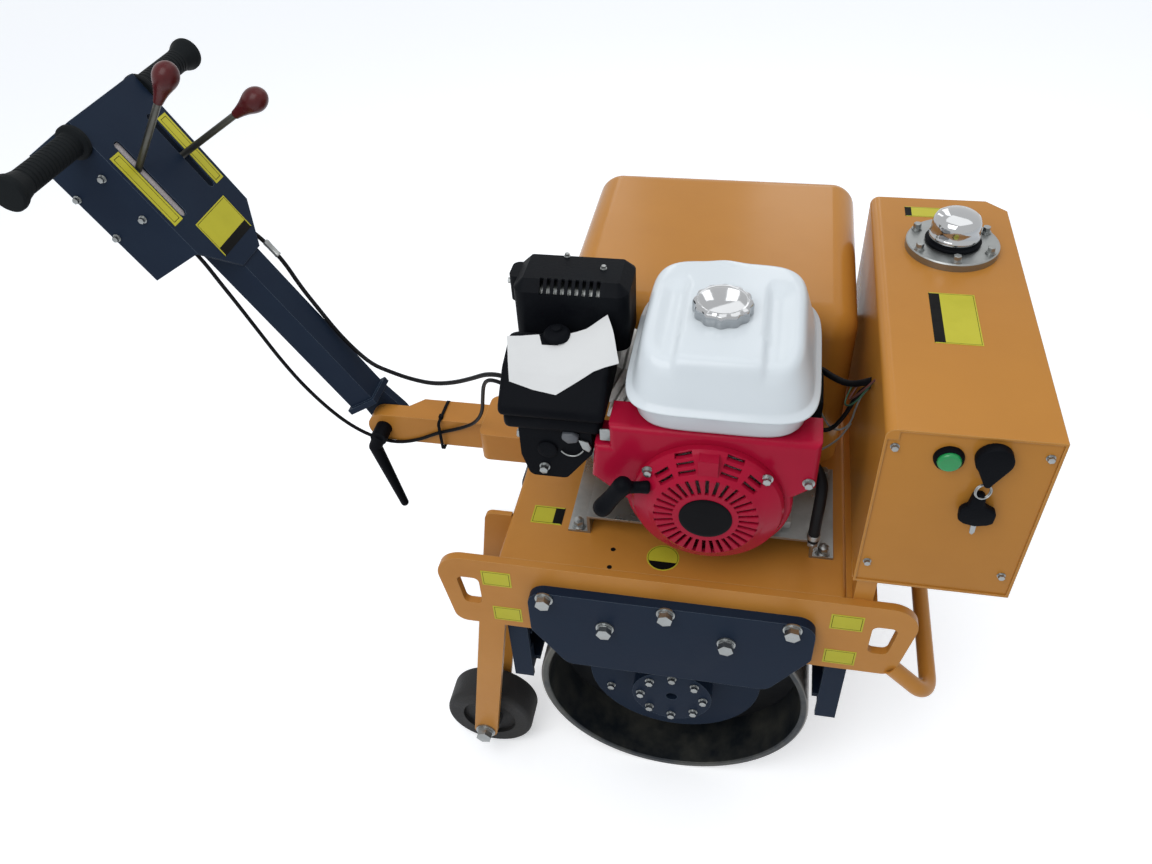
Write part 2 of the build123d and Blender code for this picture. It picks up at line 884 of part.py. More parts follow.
def make_fan_shroud():
    """Pressed fan cover: a drum round the flywheel, with the duct over the cylinder."""
    back_y = case_front_y - 8

    def pressing(w, y0):
        z_top = tank_bottom_z - w
        z_step = cleaner_rim - cleaner_tray - duct_cleaner_gap - w
        x_step = cleaner_right + duct_cleaner_gap + w
        duct = face_xz(
            [
                (crank_x - duct_toe + w, crank_z - duct_toe_drop + 2 * w),
                (crank_x - duct_left + w, crank_z + duct_left_rise + w),
                (crank_x - duct_shoulder + w, z_step),
                (x_step, z_step),
                (x_step, z_top),
                (crank_x + duct_right - w, z_top),
                (crank_x + duct_right - w, crank_z + duct_right_rise + w),
                (crank_x + shroud_radius * 0.9, crank_z + duct_right_rise * 0.2 + w),
            ]
        )
        body = pin_y(crank_x, crank_z, shroud_radius - w, y0, back_y) + plate_xz(duct, y0, back_y)
        return fillet(body.faces().sort_by(Axis.Y)[0].edges(), shroud_round - w)

    shroud = pressing(0, shroud_front_y) - pressing(shroud_wall, shroud_front_y + shroud_wall)
    return shroud - pin_y(
        crank_x, crank_z, recoil_radius - recoil_seat, shroud_front_y - 1, shroud_front_y + shroud_wall + 1
    )


def recoil_profile(depth, inset):
    """Half the starter cover's section, or with an inset the hollow inside it."""
    rim = recoil_radius - inset
    return make_face(
        Polyline(
            [
                (0, -inset),
                (0, depth - inset),
                (recoil_face_radius - 6 - inset, depth - inset),
                (recoil_face_radius + 2 - inset, depth - recoil_shoulder_drop - inset),
                (rim - 3, recoil_rim_depth - inset),
                (rim, recoil_rim_depth - 5 - inset),
                (rim, -inset),
            ],
            close=True,
        )
    )


def make_recoil_cover():
    """Domed starter cover: radial slots round a bare disc, and louvres over its shoulder."""
    y0 = shroud_front_y
    depth = y0 - engine_front_y
    cover = revolve(Plane.XZ * recoil_profile(depth, 0), Axis.Z)
    boss_height = recoil_radius - recoil_face_radius
    cover += Pos(0, recoil_face_radius + boss_height / 2 - 3, depth / 2) * Box(boss_width, boss_height, depth - boss_drop * 2)
    cover -= revolve(Plane.XZ * recoil_profile(depth, recoil_wall), Axis.Z)
    slot_middle = (recoil_slot_start + recoil_slot_end) / 2
    slot = Pos(slot_middle, 0, depth) * Box(recoil_slot_end - recoil_slot_start, recoil_slot_width, depth)
    for k in range(recoil_slots):
        cover -= Rot(0, 0, 360 / recoil_slots * k) * slot
    for side in (-1, 1):
        for turn, count in ((louvre_angle, 3), (louvre_angle + louvre_turn, 2)):
            for k in range(count):
                louvre = Pos(0, louvre_start + louvre_pitch * k, depth / 2) * Box(
                    louvre_width, louvre_height, depth
                )
                cover -= Rot(0, 0, side * turn) * louvre
    return Pos(crank_x, y0, crank_z) * Rot(90, 0, 0) * cover


def make_recoil_grip():
    """T-shaped pull handle resting in the side of the starter cover."""
    y = engine_front_y - grip_stand + grip_bar_radius
    end = Vector(crank_x - recoil_face_radius - 6, shroud_front_y - 8, crank_z + 36)
    middle = Vector(end.X - grip_neck_length, y, end.Z - 2)
    lean = Vector(-0.56, 0, -0.83) * (grip_bar_length / 2)
    a = middle + lean
    axis = lean * -2
    grip = Plane(a, z_dir=axis) * Pos(0, 0, axis.length / 2) * Cylinder(grip_bar_radius, axis.length)
    for tip in (a, a + axis):
        grip += Pos(tip) * Sphere(grip_bar_radius)
    link = end - middle
    grip += Plane(middle, z_dir=link) * Pos(0, 0, link.length / 2) * Cone(
        grip_bar_radius - 1, grip_neck_radius, link.length
    )
    grip = grip - make_recoil_cover() - make_fan_shroud()
    return grip.solids().sort_by(SortBy.VOLUME)[-1]


def make_fuel_tank():
    """Two pressings: a pan below, a wide lip and a crowned top with its raised filler panel."""
    cx = (tank_left + tank_right) / 2
    cy = (tank_near_y + tank_far_y) / 2
    sx = tank_right - tank_left
    sy = tank_far_y - tank_near_y
    lip_z = tank_flange_z - tank_lip * 2 / 3

    def slab(inset, z):
        radius = tank_corner - inset * 0.2
        return Pos(cx, cy, z) * RectangleRounded(sx - 2 * inset, sy - 2 * inset, radius)

    pan = loft([slab(22, tank_bottom_z), slab(13, lip_z)])
    lip = extrude(slab(0, lip_z), amount=tank_lip, dir=(0, 0, 1))
    lip = fillet(lip.edges().group_by(Axis.Z)[-1], tank_lip * 0.45)
    dome = loft([slab(4, lip_z + tank_lip), slab(tank_shoulder, tank_top_z)])
    dome = fillet(dome.edges().group_by(Axis.Z)[-1], tank_shoulder * 0.7)
    front = tank_near_y + tank_shoulder * 0.9
    back = tank_far_y - tank_shoulder * 0.9
    panel = make_face(
        Polyline(
            [
                (cx - tank_panel_front / 2, front),
                (cx + tank_panel_front / 2, front),
                (cx + tank_panel_waist / 2, cap_y),
                (cx + tank_panel_rear / 2, back),
                (cx - tank_panel_rear / 2, back),
                (cx - tank_panel_waist / 2, cap_y),
            ],
            close=True,
        )
    )
    panel = fillet(panel.vertices(), 16)
    raised = Pos(0, 0, tank_top_z - tank_shoulder / 2) * extrude(
        panel, amount=tank_shoulder / 2 + tank_panel_raise, dir=(0, 0, 1), taper=24
    )
    raised = fillet(raised.edges().group_by(Axis.Z)[-1], tank_panel_raise)
    neck = Pos(cap_x, cap_y, tank_top_z + tank_panel_raise) * Cylinder(cap_radius - 4, 8)
    return pan + lip + dome + raised + neck


def make_fuel_cap():
    """Screw cap with scalloped side and a shallow dished top."""
    height = cap_height
    cap = Cylinder(cap_radius, height)
    cap = fillet(cap.edges().group_by(Axis.Z)[-1], 5)
    for k in range(10):
        cap -= Rot(0, 0, 36 * k) * Pos(cap_radius + 5, 0, -4) * Cylinder(8, height)
    cap -= Pos(0, 0, height / 2) * Cylinder(cap_radius - 10, 3)
    return Pos(cap_x, cap_y, tank_top_z + tank_panel_raise + 4 + height / 2) * cap


def make_air_cleaner():
    """Moulded cover, sloped in front, over its base tray."""
    face = make_face(
        Polyline(
            [
                (0, cleaner_near_y, cleaner_rim),
                (0, cleaner_near_y, cleaner_front_top),
                (0, cleaner_near_y + cleaner_slope, cleaner_top - 16),
                (0, cleaner_far_y - 22, cleaner_top),
                (0, cleaner_far_y, cleaner_top - 14),
                (0, cleaner_far_y, cleaner_rim),
            ],
            close=True,
        )
    )
    cover = Pos(cleaner_left, 0, 0) * extrude(face, amount=cleaner_right - cleaner_left, dir=(1, 0, 0))
    cover = fillet(cover.edges().filter_by(Axis.Z), cleaner_corner)
    tray = block(
        cleaner_left + 4,
        cleaner_right - 4,
        cleaner_near_y + 4,
        cleaner_far_y - 4,
        cleaner_rim - cleaner_tray,
        cleaner_rim,
    )
    knob = Pos((cleaner_left + cleaner_right) / 2, cleaner_far_y - 22, cleaner_top) * Cylinder(11, 14)
    return cover + tray + knob


def make_carburettor_cover():
    """Black housing round the carburettor, under the air cleaner, with its pipe to the head."""
    y0 = cleaner_near_y + carb_inset / 2
    y1 = cleaner_far_y - carb_inset - 6
    x0 = cleaner_left + carb_inset
    x1 = crank_x - duct_left - carb_gap
    z1 = cleaner_rim - cleaner_tray
    face = face_xz(
        [
            (x0, z1),
            (x1, z1),
            (x1, z1 - carb_slope),
            (x1 - carb_slope, carb_bottom),
            (x0 + carb_corner, carb_bottom),
            (x0, carb_bottom + carb_slope),
        ]
    )
    for x, z in ((x1, z1 - carb_slope), (x1 - carb_slope, carb_bottom), (x0 + carb_corner, carb_bottom)):
        face = round_corners(face, [(x, z, carb_corner)])
    housing = plate_xz(face, y0, y1)
    tilt = math.radians(cylinder_angle)
    reach = cylinder_reach + head_thickness / 2
    port = head_thickness - 4
    port_x = crank_x - math.cos(tilt) * reach - math.sin(tilt) * port
    port_z = crank_z + math.sin(tilt) * reach - math.cos(tilt) * port
    head_y = case_back_y - barrel_inset - cylinder_size / 2
    return housing + pin_y(port_x, port_z, carb_pipe_radius, y1, head_y)


def make_muffler():
    """Silencer can inside its guard, with the pipe down to the cylinder head."""
    g = guard_gap
    can = block(
        muffler_left + g,
        muffler_right - g,
        muffler_near_y + g,
        muffler_far_y - g,
        muffler_bottom + g,
        muffler_top - guard_bevel,
    )
    can = fillet(can.edges().filter_by(Axis.X), guard_bevel)
    for x in (muffler_left + guard_height / 3, muffler_right - guard_height / 3):
        y = (muffler_near_y + muffler_far_y) / 2
        can += Pos(x, y, muffler_top - guard_bevel) * Cylinder(6, 2 * (guard_bevel - guard_sheet))
    pipe_x = crank_x - math.cos(math.radians(cylinder_angle)) * cylinder_reach
    pipe_y = (muffler_near_y + muffler_far_y) / 2
    half = exhaust_pipe / 2
    pipe = block(
        pipe_x - half, pipe_x + half, pipe_y - half, pipe_y + half, muffler_bottom - exhaust_drop, muffler_bottom + g
    )
    return can + (pipe - make_cylinder())


def make_muffler_guard():
    """Sheet guard over the silencer, bevelled on top, with louvres on its near bevel."""
    def shell(w):
        body = block(
            muffler_left + w,
            muffler_right - w,
            muffler_near_y + w,
            muffler_far_y - w,
            muffler_bottom,
            muffler_top - w,
        )
        body = fillet(body.edges().filter_by(Axis.Z), guard_corner - w)
        return chamfer(body.edges().group_by(Axis.Z)[-1], guard_bevel - w * 0.6)

    y0 = muffler_far_y - guard_bevel - outlet_size
    outlet = block(
        muffler_left - outlet_reach,
        muffler_left + guard_corner,
        y0,
        y0 + outlet_size,
        muffler_top - outlet_drop,
        muffler_top - guard_bevel,
    )
    outlet = fillet(outlet.edges().filter_by(Axis.Z).group_by(Axis.X)[0], 9)
    guard = shell(0) + outlet - shell(guard_sheet)
    middle = (muffler_left + muffler_right) / 2
    slot = Pos(0, muffler_near_y, muffler_top - guard_bevel / 2) * Box(
        guard_slot_width, guard_bevel * 2.4, guard_bevel * 1.3
    )
    for k in range(guard_slots):
        guard -= Pos(middle + (k - (guard_slots - 1) / 2) * guard_slot_pitch, 0, 0) * slot
    return guard


# --- hood and tank ----------------------------------------------------------------------------
def make_hood():
    """Pressed hood over the belt drive and the pump, open below on the deck."""
    def shell(inset):
        body = block(
            hood_rear + inset,
            hood_front - inset,
            hood_near_y + inset,
            plate_outer - inset,
            frame_top,
            hood_top - inset,
        )
        body = fillet(body.edges().filter_by(Axis.Z), hood_radius - inset)
        return fillet(body.edges().group_by(Axis.Z)[-1], hood_radius - inset - 1)

    hood = shell(0) - shell(hood_sheet)
    return hood - pin_y(crank_x, crank_z, hood_shaft_hole, hood_near_y - 1, hood_near_y + hood_sheet + 1)


def make_oil_tank():
    """Welded box tank; its near end is closed by the switch panel."""
    t = oil_sheet
    body = block(oil_rear, oil_front, oil_near_y, oil_far_y, oil_bottom, oil_top)
    body = fillet(body.edges().filter_by(Axis.Y).sort_by(Axis.X)[:2].sort_by(Axis.Z)[-1], oil_corner)
    far_front = body.edges().filter_by(Axis.Z).sort_by_distance((oil_front, oil_far_y, oil_bottom))[0]
    body = chamfer(far_front, 26)
    body -= block(oil_rear + t, oil_front - t, oil_near_y, oil_far_y - t, oil_bottom + t, oil_top - t - oil_corner)
    body -= block(oil_rear + t + oil_corner, oil_front - t, oil_near_y, oil_far_y - t, oil_bottom + t, oil_top - t)
    return body


def make_switch_panel():
    t = oil_sheet
    y0 = oil_near_y + panel_inset
    panel = block(oil_rear + t, oil_front - t, y0, y0 + t, oil_bottom + t, oil_top - t - oil_corner)
    panel += block(oil_rear + t + oil_corner, oil_front - t, y0, y0 + t, oil_bottom + t, oil_top - t)
    return panel


def make_filler_flange():
    ring = Pos(filler_x, filler_y, oil_top + filler_thickness / 2) * Cylinder(filler_radius, filler_thickness)
    ring = chamfer(ring.edges().group_by(Axis.Z)[-1], 1.5)
    return ring + Pos(filler_x, filler_y, oil_top + filler_thickness + 4) * Cylinder(filler_cap_radius - 4, 8)


def make_filler_cap():
    z0 = oil_top + filler_thickness + 8
    cap = Pos(0, 0, filler_cap_height / 2) * Cylinder(filler_cap_radius, filler_cap_height)
    cap = fillet(cap.edges().group_by(Axis.Z)[-1], 11)
    return Pos(filler_x, filler_y, z0) * cap


def make_tank_cradle():
    """Two square posts from the front rail and a bearer under the tank on each."""
    cradle = None
    for y in (-plate_inner + cradle_post / 2, oil_far_y - cradle_far_inset):
        post = block(
            deck_front + 8, deck_front + 8 + cradle_post, y - cradle_post / 2, y + cradle_post / 2, frame_top - 6, oil_bottom - 8
        )
        bearer = block(oil_rear, oil_front - 14, y - cradle_post / 2, y + cradle_post / 2, oil_bottom - 8, oil_bottom)
        cradle = post + bearer if cradle is None else cradle + post + bearer
    return cradle


def make_signal_lamp():
    y1 = oil_near_y + panel_inset
    lamp = pin_y(lamp_x, lamp_z, lamp_radius, y1 - 12, y1)
    return fillet(lamp.edges().group_by(Axis.Y)[0], 4)


def make_key_switch():
    y1 = oil_near_y + panel_inset
    cover = pin_y(switch_x, switch_z, switch_radius, y1 - 16, y1)
    cover = fillet(cover.edges().group_by(Axis.Y)[0], 5)
    return cover


# --- cables -----------------------------------------------------------------------------------
upper_cable_points = [
    (-739.0, 48, 850.4),
    (-720.5, 48, 820.5),
    (-692, 47, 793),
    (-667, 43, 761),
    (-645, 35, 719),
    (-619, 26, 684),
    (-594, 20, 645),
    (-568, 17, 611),
    (-540, 10, 590),
    (-506, 2, 584),
    (-468, -14, 587),
    (-420, -38, 601),
    (-374, -63, 628),
    (-332, -89, 662),
    (-297, -115, 696),
    (-260, -143, 718),
    (-220, -165, 717),
    (-190, -190, 713),
    (-190, -213.7, 713),
]
lower_cable_points = [
    (-740.7, -68, 849.4),
    (-727.4, -68, 827.9),
    (-711, -72, 798),
    (-694, -70, 754),
    (-678, -64, 700),
    (-661, -57, 641),
    (-641, -49, 584),
    (-614, -41, 530),
    (-586, -34, 489),
    (-551, -29, 461),
    (-511, -28.3, 452),
    (-470, -28.3, 463),
    (-431, -28.3, 485),
    (-392, -30, 500),
    (-358, -40, 525),
    (-335, -58, 567),
    (-321, -84, 622),
    (-307, -108, 672),
    (-286, -132, 701),
    (-252, -152, 707),
    (-213, -170, 702),
    (-178, -190, 700),
    (-178, -213.7, 700),
]


def cable_radii(points):
    """For each corner, 0.45 of the shorter run over the tangent of half its turn."""
    vectors = [Vector(*p) for p in points]
    radii = []
    for a, b, c in zip(vectors, vectors[1:], vectors[2:]):
        turn = (b - a).get_angle(c - b)
        run = min((b - a).length, (c - b).length)
        radii.append(0.45 * run / math.tan(math.radians(turn) / 2))
    return radii


def make_cable(points, diameter):
    radii = cable_radii(points)
    print("cable radii", [round(r) for r in radii])
    path = FilletPolyline(points, radius=radii)
    start = Plane(points[0], z_dir=Vector(*points[1]) - Vector(*points[0]))
    tube = sweep(start * Circle(diameter / 2), path=path)
    ideal = math.pi * diameter**2 / 4 * path.length
    print("cable length", round(path.length, 1), "volume over ideal", round(tube.volume / ideal, 4))
    return tube


# --- the whole machine ------------------------------------------------------------------------
right_rod, right_knob = lever(-slot_offset, right_lever_lean)
left_rod, left_knob = lever(slot_offset, left_lever_lean)
left_plate = make_side_plate()
left_hanger = make_hanger()
left_carrier = make_hub_carrier()
left_wheel = make_support_wheel()

parts = {
    "drum_shell": make_drum_shell(),
    "drum_webs": make_drum_webs(),
    "right_side_plate": mirrored(left_plate),
    "left_side_plate": left_plate,
    "deck": make_deck(),
    "front_rail": make_front_rail(),
    "leg_fork_plates": make_fork_plates(),
    "wheel_axles": make_wheel_axles(),
    "right_support_wheel": mirrored(left_wheel),
    "left_support_wheel": left_wheel,
    "right_hanger": mirrored(left_hanger),
    "left_hanger": left_hanger,
    "right_hub_carrier": mirrored(left_carrier),
    "left_hub_carrier": left_carrier,
    "rear_scraper": make_scraper(-1),
    "front_scraper": make_scraper(1),
    "bumper": make_bumper(),
    "drawbar_socket": make_drawbar_socket(),
    "drawbar": make_drawbar(),
    "clamp_bolt": make_clamp_bolt(),
    "clamp_lever": make_clamp_lever(),
    "handle_arm": make_arm(),
    "console": make_console(),
    "lever_shaft": make_lever_shaft(),
    "control_levers": right_rod + left_rod,
    "lever_knobs": right_knob + left_knob,
    "handlebar": make_handlebar(),
    "hand_grips": make_grips(),
    "engine_base": make_engine_base(),
    "crankcase": make_crankcase(),
    "fan_shroud": make_fan_shroud(),
    "recoil_cover": make_recoil_cover(),
    "recoil_grip": make_recoil_grip(),
    "fuel_tank": make_fuel_tank(),
    "fuel_cap": make_fuel_cap(),
    "air_cleaner": make_air_cleaner(),
    "carburettor_cover": make_carburettor_cover(),
    "muffler": make_muffler(),
    "muffler_guard": make_muffler_guard(),
    "hood": make_hood(),
    "oil_tank": make_oil_tank(),
    "switch_panel": make_switch_panel(),
    "filler_flange": make_filler_flange(),
    "filler_cap": make_filler_cap(),
    "tank_cradle": make_tank_cradle(),
    "signal_lamp": make_signal_lamp(),
    "key_switch": make_key_switch(),
    "upper_cable": make_cable(upper_cable_points, cable_diameter),
    "lower_cable": make_cable(lower_cable_points, throttle_cable_diameter),
}

boxes = [part.bounding_box() for part in parts.values()]
middle_x = (min(b.min.X for b in boxes) + max(b.max.X for b in boxes)) / 2
middle_y = (min(b.min.Y for b in boxes) + max(b.max.Y for b in boxes)) / 2
print("middle of the machine", round(middle_x, 3), round(middle_y, 3))

for name, part in parts.items():
    export_step(Pos(-middle_x, -middle_y, 0) * part, f"parts/{name}.step")
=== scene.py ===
import math

import bpy
from mathutils import Matrix, Vector


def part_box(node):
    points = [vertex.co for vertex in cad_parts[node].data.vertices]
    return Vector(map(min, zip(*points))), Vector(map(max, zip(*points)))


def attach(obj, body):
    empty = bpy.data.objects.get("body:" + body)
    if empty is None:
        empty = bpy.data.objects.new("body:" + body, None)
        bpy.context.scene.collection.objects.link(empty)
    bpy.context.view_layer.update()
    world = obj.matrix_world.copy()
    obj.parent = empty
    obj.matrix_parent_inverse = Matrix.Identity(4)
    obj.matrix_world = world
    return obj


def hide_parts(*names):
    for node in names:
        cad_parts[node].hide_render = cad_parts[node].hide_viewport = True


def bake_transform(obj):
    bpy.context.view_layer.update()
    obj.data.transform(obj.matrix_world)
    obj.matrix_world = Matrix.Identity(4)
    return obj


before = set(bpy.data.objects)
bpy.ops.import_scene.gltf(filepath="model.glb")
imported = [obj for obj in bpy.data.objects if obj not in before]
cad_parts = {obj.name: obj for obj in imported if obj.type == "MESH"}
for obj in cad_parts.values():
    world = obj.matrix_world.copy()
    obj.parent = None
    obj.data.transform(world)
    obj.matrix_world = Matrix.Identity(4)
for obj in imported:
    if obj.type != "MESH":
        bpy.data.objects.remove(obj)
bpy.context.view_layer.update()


# Camera, lamps, world and floor. The floor and the world are white where the camera or a
# reflection looks at them. Two soft boxes hang over the machine, and two tall windows stand
# behind it, which draw soft streaks on the covers.
drum_low, drum_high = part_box("drum_shell")
axle = (drum_low + drum_high) / 2
mm = 0.001


def at(x, y, z):
    """A place in millimetres forward of the drum's axle, left of the middle and above the ground."""
    return Vector((axle.x + x * mm, axle.y + y * mm, z * mm))


bpy.ops.object.camera_add()
camera = bpy.context.object
camera.name = "camera"
camera.data.sensor_width = 36
camera.data.lens = 29.71
camera.data.clip_end = 50
camera.matrix_world = (
    Matrix.Translation(at(78.5, -1136.4, 1552.6))
    @ Matrix.Rotation(0.2394, 4, "Z")
    @ Matrix.Rotation(math.pi / 2 - 0.7377, 4, "X")
    @ Matrix.Rotation(-0.0703, 4, "Z")
)
bpy.context.scene.camera = camera
bpy.context.scene.view_settings.view_transform = "Standard"

for name, place, target, width, height, power in (
    ("lamp_key", (-700, -1500, 2500), (0, 0, 500), 1.6, 1.6, 29),
    ("lamp_top", (500, 500, 2900), (0, 0, 500), 2.2, 2.2, 15),
    ("lamp_window_left", (-560, 2000, 1900), (0, 150, 800), 0.34, 1.3, 2.2),
    ("lamp_window_right", (190, 2050, 1900), (100, 150, 800), 0.34, 1.3, 2.6),
):
    bpy.ops.object.light_add(type="AREA", location=at(*place))
    lamp = bpy.context.object
    lamp.name = name
    lamp.data.shape = "RECTANGLE"
    lamp.data.size = width
    lamp.data.size_y = height
    lamp.data.energy = power
    lamp.rotation_euler = (at(*target) - lamp.location).to_track_quat("-Z", "Y").to_euler()

world = bpy.data.worlds.new("studio")
bpy.context.scene.world = world
world.use_nodes = True
links = world.node_tree.links
background = world.node_tree.nodes["Background"]
background.inputs["Color"].default_value = (0.86, 0.92, 1.0, 1)
background.inputs["Strength"].default_value = 0.6
white = world.node_tree.nodes.new("ShaderNodeBackground")
white.inputs["Color"].default_value = (1, 1, 1, 1)


def seen(tree):
    """1 for the rays of the camera, of reflections and of glass, else 0."""
    ray = tree.nodes.new("ShaderNodeLightPath")
    either = tree.nodes.new("ShaderNodeMath")
    either.operation = "MAXIMUM"
    tree.links.new(ray.outputs["Is Camera Ray"], either.inputs[0])
    tree.links.new(ray.outputs["Is Glossy Ray"], either.inputs[1])
    whole = tree.nodes.new("ShaderNodeMath")
    whole.operation = "MAXIMUM"
    tree.links.new(either.outputs[0], whole.inputs[0])
    tree.links.new(ray.outputs["Is Transmission Ray"], whole.inputs[1])
    return whole.outputs[0]


mix = world.node_tree.nodes.new("ShaderNodeMixShader")
links.new(seen(world.node_tree), mix.inputs[0])
links.new(background.outputs[0], mix.inputs[1])
links.new(white.outputs[0], mix.inputs[2])
links.new(mix.outputs[0], world.node_tree.nodes["World Output"].inputs["Surface"])

bpy.ops.mesh.primitive_plane_add(size=16, location=(0, 0, 0))
floor = bpy.context.object
floor.name = "floor"
floor_paint = bpy.data.materials.new("floor_white")
floor_paint.use_nodes = True
shader = floor_paint.node_tree.nodes["Principled BSDF"]
shader.inputs["Base Color"].default_value = (0.9, 0.9, 0.9, 1)
shader.inputs["Roughness"].default_value = 0.9
shader.inputs["Emission Color"].default_value = (1, 1, 1, 1)
glow = floor_paint.node_tree.nodes.new("ShaderNodeMath")
glow.operation = "MULTIPLY"
glow.inputs[1].default_value = 0.4
floor_paint.node_tree.links.new(seen(floor_paint.node_tree), glow.inputs[0])
floor_paint.node_tree.links.new(glow.outputs[0], shader.inputs["Emission Strength"])
floor.data.materials.append(floor_paint)


# Frame: side plates, deck, front rail, rear legs, bumper and tank cradle, cut and bent from
# steel sheet and tube, welded together and sprayed with ochre enamel.
def surface(
    name, colour, grime, roughness, metallic=0.0, coat=0.0, patch=6.0, grain=220.0, bump=0.05,
    spread=0.5, edge=1.2, dents=0.0, shine=0.5, edge_wear_and_highlight=None,
):
    """A finish that drifts to its grime in soft patches, with a fine grain and dents. Its edges are
    softened, and painted lighter in the edge colour where one is given: part rubbed paint, part painted
    highlight."""
    material = bpy.data.materials.new(name)
    material.use_nodes = True
    nodes, links = material.node_tree.nodes, material.node_tree.links
    shader = nodes["Principled BSDF"]
    shader.inputs["Metallic"].default_value = metallic
    shader.inputs["Coat Weight"].default_value = coat
    shader.inputs["Coat Roughness"].default_value = 0.12
    shader.inputs["Specular IOR Level"].default_value = shine
    place = nodes.new("ShaderNodeTexCoord")
    patches = nodes.new("ShaderNodeTexNoise")
    patches.inputs["Scale"].default_value = patch
    patches.inputs["Detail"].default_value = 6
    patches.inputs["Roughness"].default_value = 0.6
    fine = nodes.new("ShaderNodeTexNoise")
    fine.inputs["Scale"].default_value = grain
    fine.inputs["Detail"].default_value = 3
    for texture in (patches, fine):
        links.new(place.outputs["Object"], texture.inputs["Vector"])
    amount = nodes.new("ShaderNodeMapRange")
    amount.inputs["From Min"].default_value = 0.42
    amount.inputs["From Max"].default_value = 0.72
    amount.inputs["To Max"].default_value = spread
    links.new(patches.outputs["Fac"], amount.inputs["Value"])
    blend = nodes.new("ShaderNodeMix")
    blend.data_type = "RGBA"
    blend.inputs["A"].default_value = (*colour, 1)
    blend.inputs["B"].default_value = (*grime, 1)
    links.new(amount.outputs["Result"], blend.inputs["Factor"])
    links.new(blend.outputs["Result"], shader.inputs["Base Color"])
    gloss = nodes.new("ShaderNodeMapRange")
    gloss.inputs["From Min"].default_value = 0.3
    gloss.inputs["From Max"].default_value = 0.7
    gloss.inputs["To Min"].default_value = roughness * 0.8
    gloss.inputs["To Max"].default_value = min(1.0, roughness * 1.25)
    links.new(patches.outputs["Fac"], gloss.inputs["Value"])
    links.new(gloss.outputs["Result"], shader.inputs["Roughness"])
    corner = nodes.new("ShaderNodeBevel")
    corner.samples = 4
    corner.inputs["Radius"].default_value = edge * mm
    # Every edge takes a lighter colour here: partly rubbed paint, partly a painted highlight.
    if edge_wear_and_highlight:
        face = nodes.new("ShaderNodeNewGeometry")
        bend = nodes.new("ShaderNodeVectorMath")
        bend.operation = "DOT_PRODUCT"
        links.new(corner.outputs["Normal"], bend.inputs[0])
        links.new(face.outputs["True Normal"], bend.inputs[1])
        rubbed_and_lit_edge_mask = nodes.new("ShaderNodeMapRange")
        rubbed_and_lit_edge_mask.inputs["From Min"].default_value = 0.97
        rubbed_and_lit_edge_mask.inputs["From Max"].default_value = 0.85
        rubbed_and_lit_edge_mask.inputs["To Max"].default_value = 0.75
        links.new(bend.outputs["Value"], rubbed_and_lit_edge_mask.inputs["Value"])
        worn_and_lit_edge_colour = nodes.new("ShaderNodeMix")
        worn_and_lit_edge_colour.data_type = "RGBA"
        worn_and_lit_edge_colour.inputs["B"].default_value = (*edge_wear_and_highlight, 1)
        links.new(rubbed_and_lit_edge_mask.outputs["Result"], worn_and_lit_edge_colour.inputs["Factor"])
        links.new(blend.outputs["Result"], worn_and_lit_edge_colour.inputs["A"])
        links.new(worn_and_lit_edge_colour.outputs["Result"], shader.inputs["Base Color"])
    height = nodes.new("ShaderNodeBump")
    height.inputs["Strength"].default_value = bump
    height.inputs["Distance"].default_value = 2 * mm
    links.new(fine.outputs["Fac"], height.inputs["Height"])
    links.new(corner.outputs["Normal"], height.inputs["Normal"])
    if dents:
        swell = nodes.new("ShaderNodeTexNoise")
        swell.inputs["Scale"].default_value = 7
        swell.inputs["Detail"].default_value = 1
        links.new(place.outputs["Object"], swell.inputs["Vector"])
        wave = nodes.new("ShaderNodeBump")
        wave.inputs["Strength"].default_value = dents
        wave.inputs["Distance"].default_value = 12 * mm
        links.new(swell.outputs["Fac"], wave.inputs["Height"])
        links.new(corner.outputs["Normal"], wave.inputs["Normal"])
        links.new(wave.outputs["Normal"], height.inputs["Normal"])
    links.new(height.outputs["Normal"], shader.inputs["Normal"])
    return material


def paint_nodes(material, *nodes):
    """Gives CAD nodes their finish."""
    for node in nodes:
        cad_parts[node].material_slots[0].material = material


# The ochre edges are painted lighter: partly rubbed paint, partly a painted highlight.
ochre = surface(
    "ochre_enamel", (0.47, 0.2, 0.034), (0.34, 0.13, 0.02), 0.36, patch=4, grain=90, bump=0.04, shine=0.2,
    edge_wear_and_highlight=(0.62, 0.36, 0.13),
)
paint_nodes(
    ochre,
    "right_side_plate",
    "left_side_plate",
    "deck",
    "front_rail",
    "leg_fork_plates",
    "bumper",
    "tank_cradle",
    "drawbar_socket",
    "drawbar",
)


# Warning plates on the frame: thin yellow foil with a fine black line inside the edge, some with
# a black band at one end, stuck on the lifting ears and on the deck. They carry no lettering.
foil_yellow = surface(
    "foil_yellow", (0.47, 0.43, 0.03), (0.38, 0.35, 0.025), 0.4, patch=20, grain=300, bump=0.01, edge=0.2,
    shine=0.15,
)
foil_black = surface(
    "foil_black", (0.004, 0.004, 0.004), (0.006, 0.006, 0.006), 0.55, patch=20, grain=300, bump=0.01,
    edge=0.2, shine=0.06,
)


def clear():
    """Leaves edit mode with nothing selected."""
    if bpy.context.object and bpy.context.object.mode == "EDIT":
        bpy.ops.object.mode_set(mode="OBJECT")
    bpy.ops.object.select_all(action="DESELECT")


def pick(test):
    """Selects the faces of the active piece that pass the test, in edit mode."""
    bpy.ops.object.mode_set(mode="EDIT")
    bpy.ops.mesh.select_mode(type="FACE")
    bpy.ops.mesh.select_all(action="DESELECT")
    bpy.ops.object.mode_set(mode="OBJECT")
    for face in bpy.context.object.data.polygons:
        face.select = test(face)
    bpy.ops.object.mode_set(mode="EDIT")


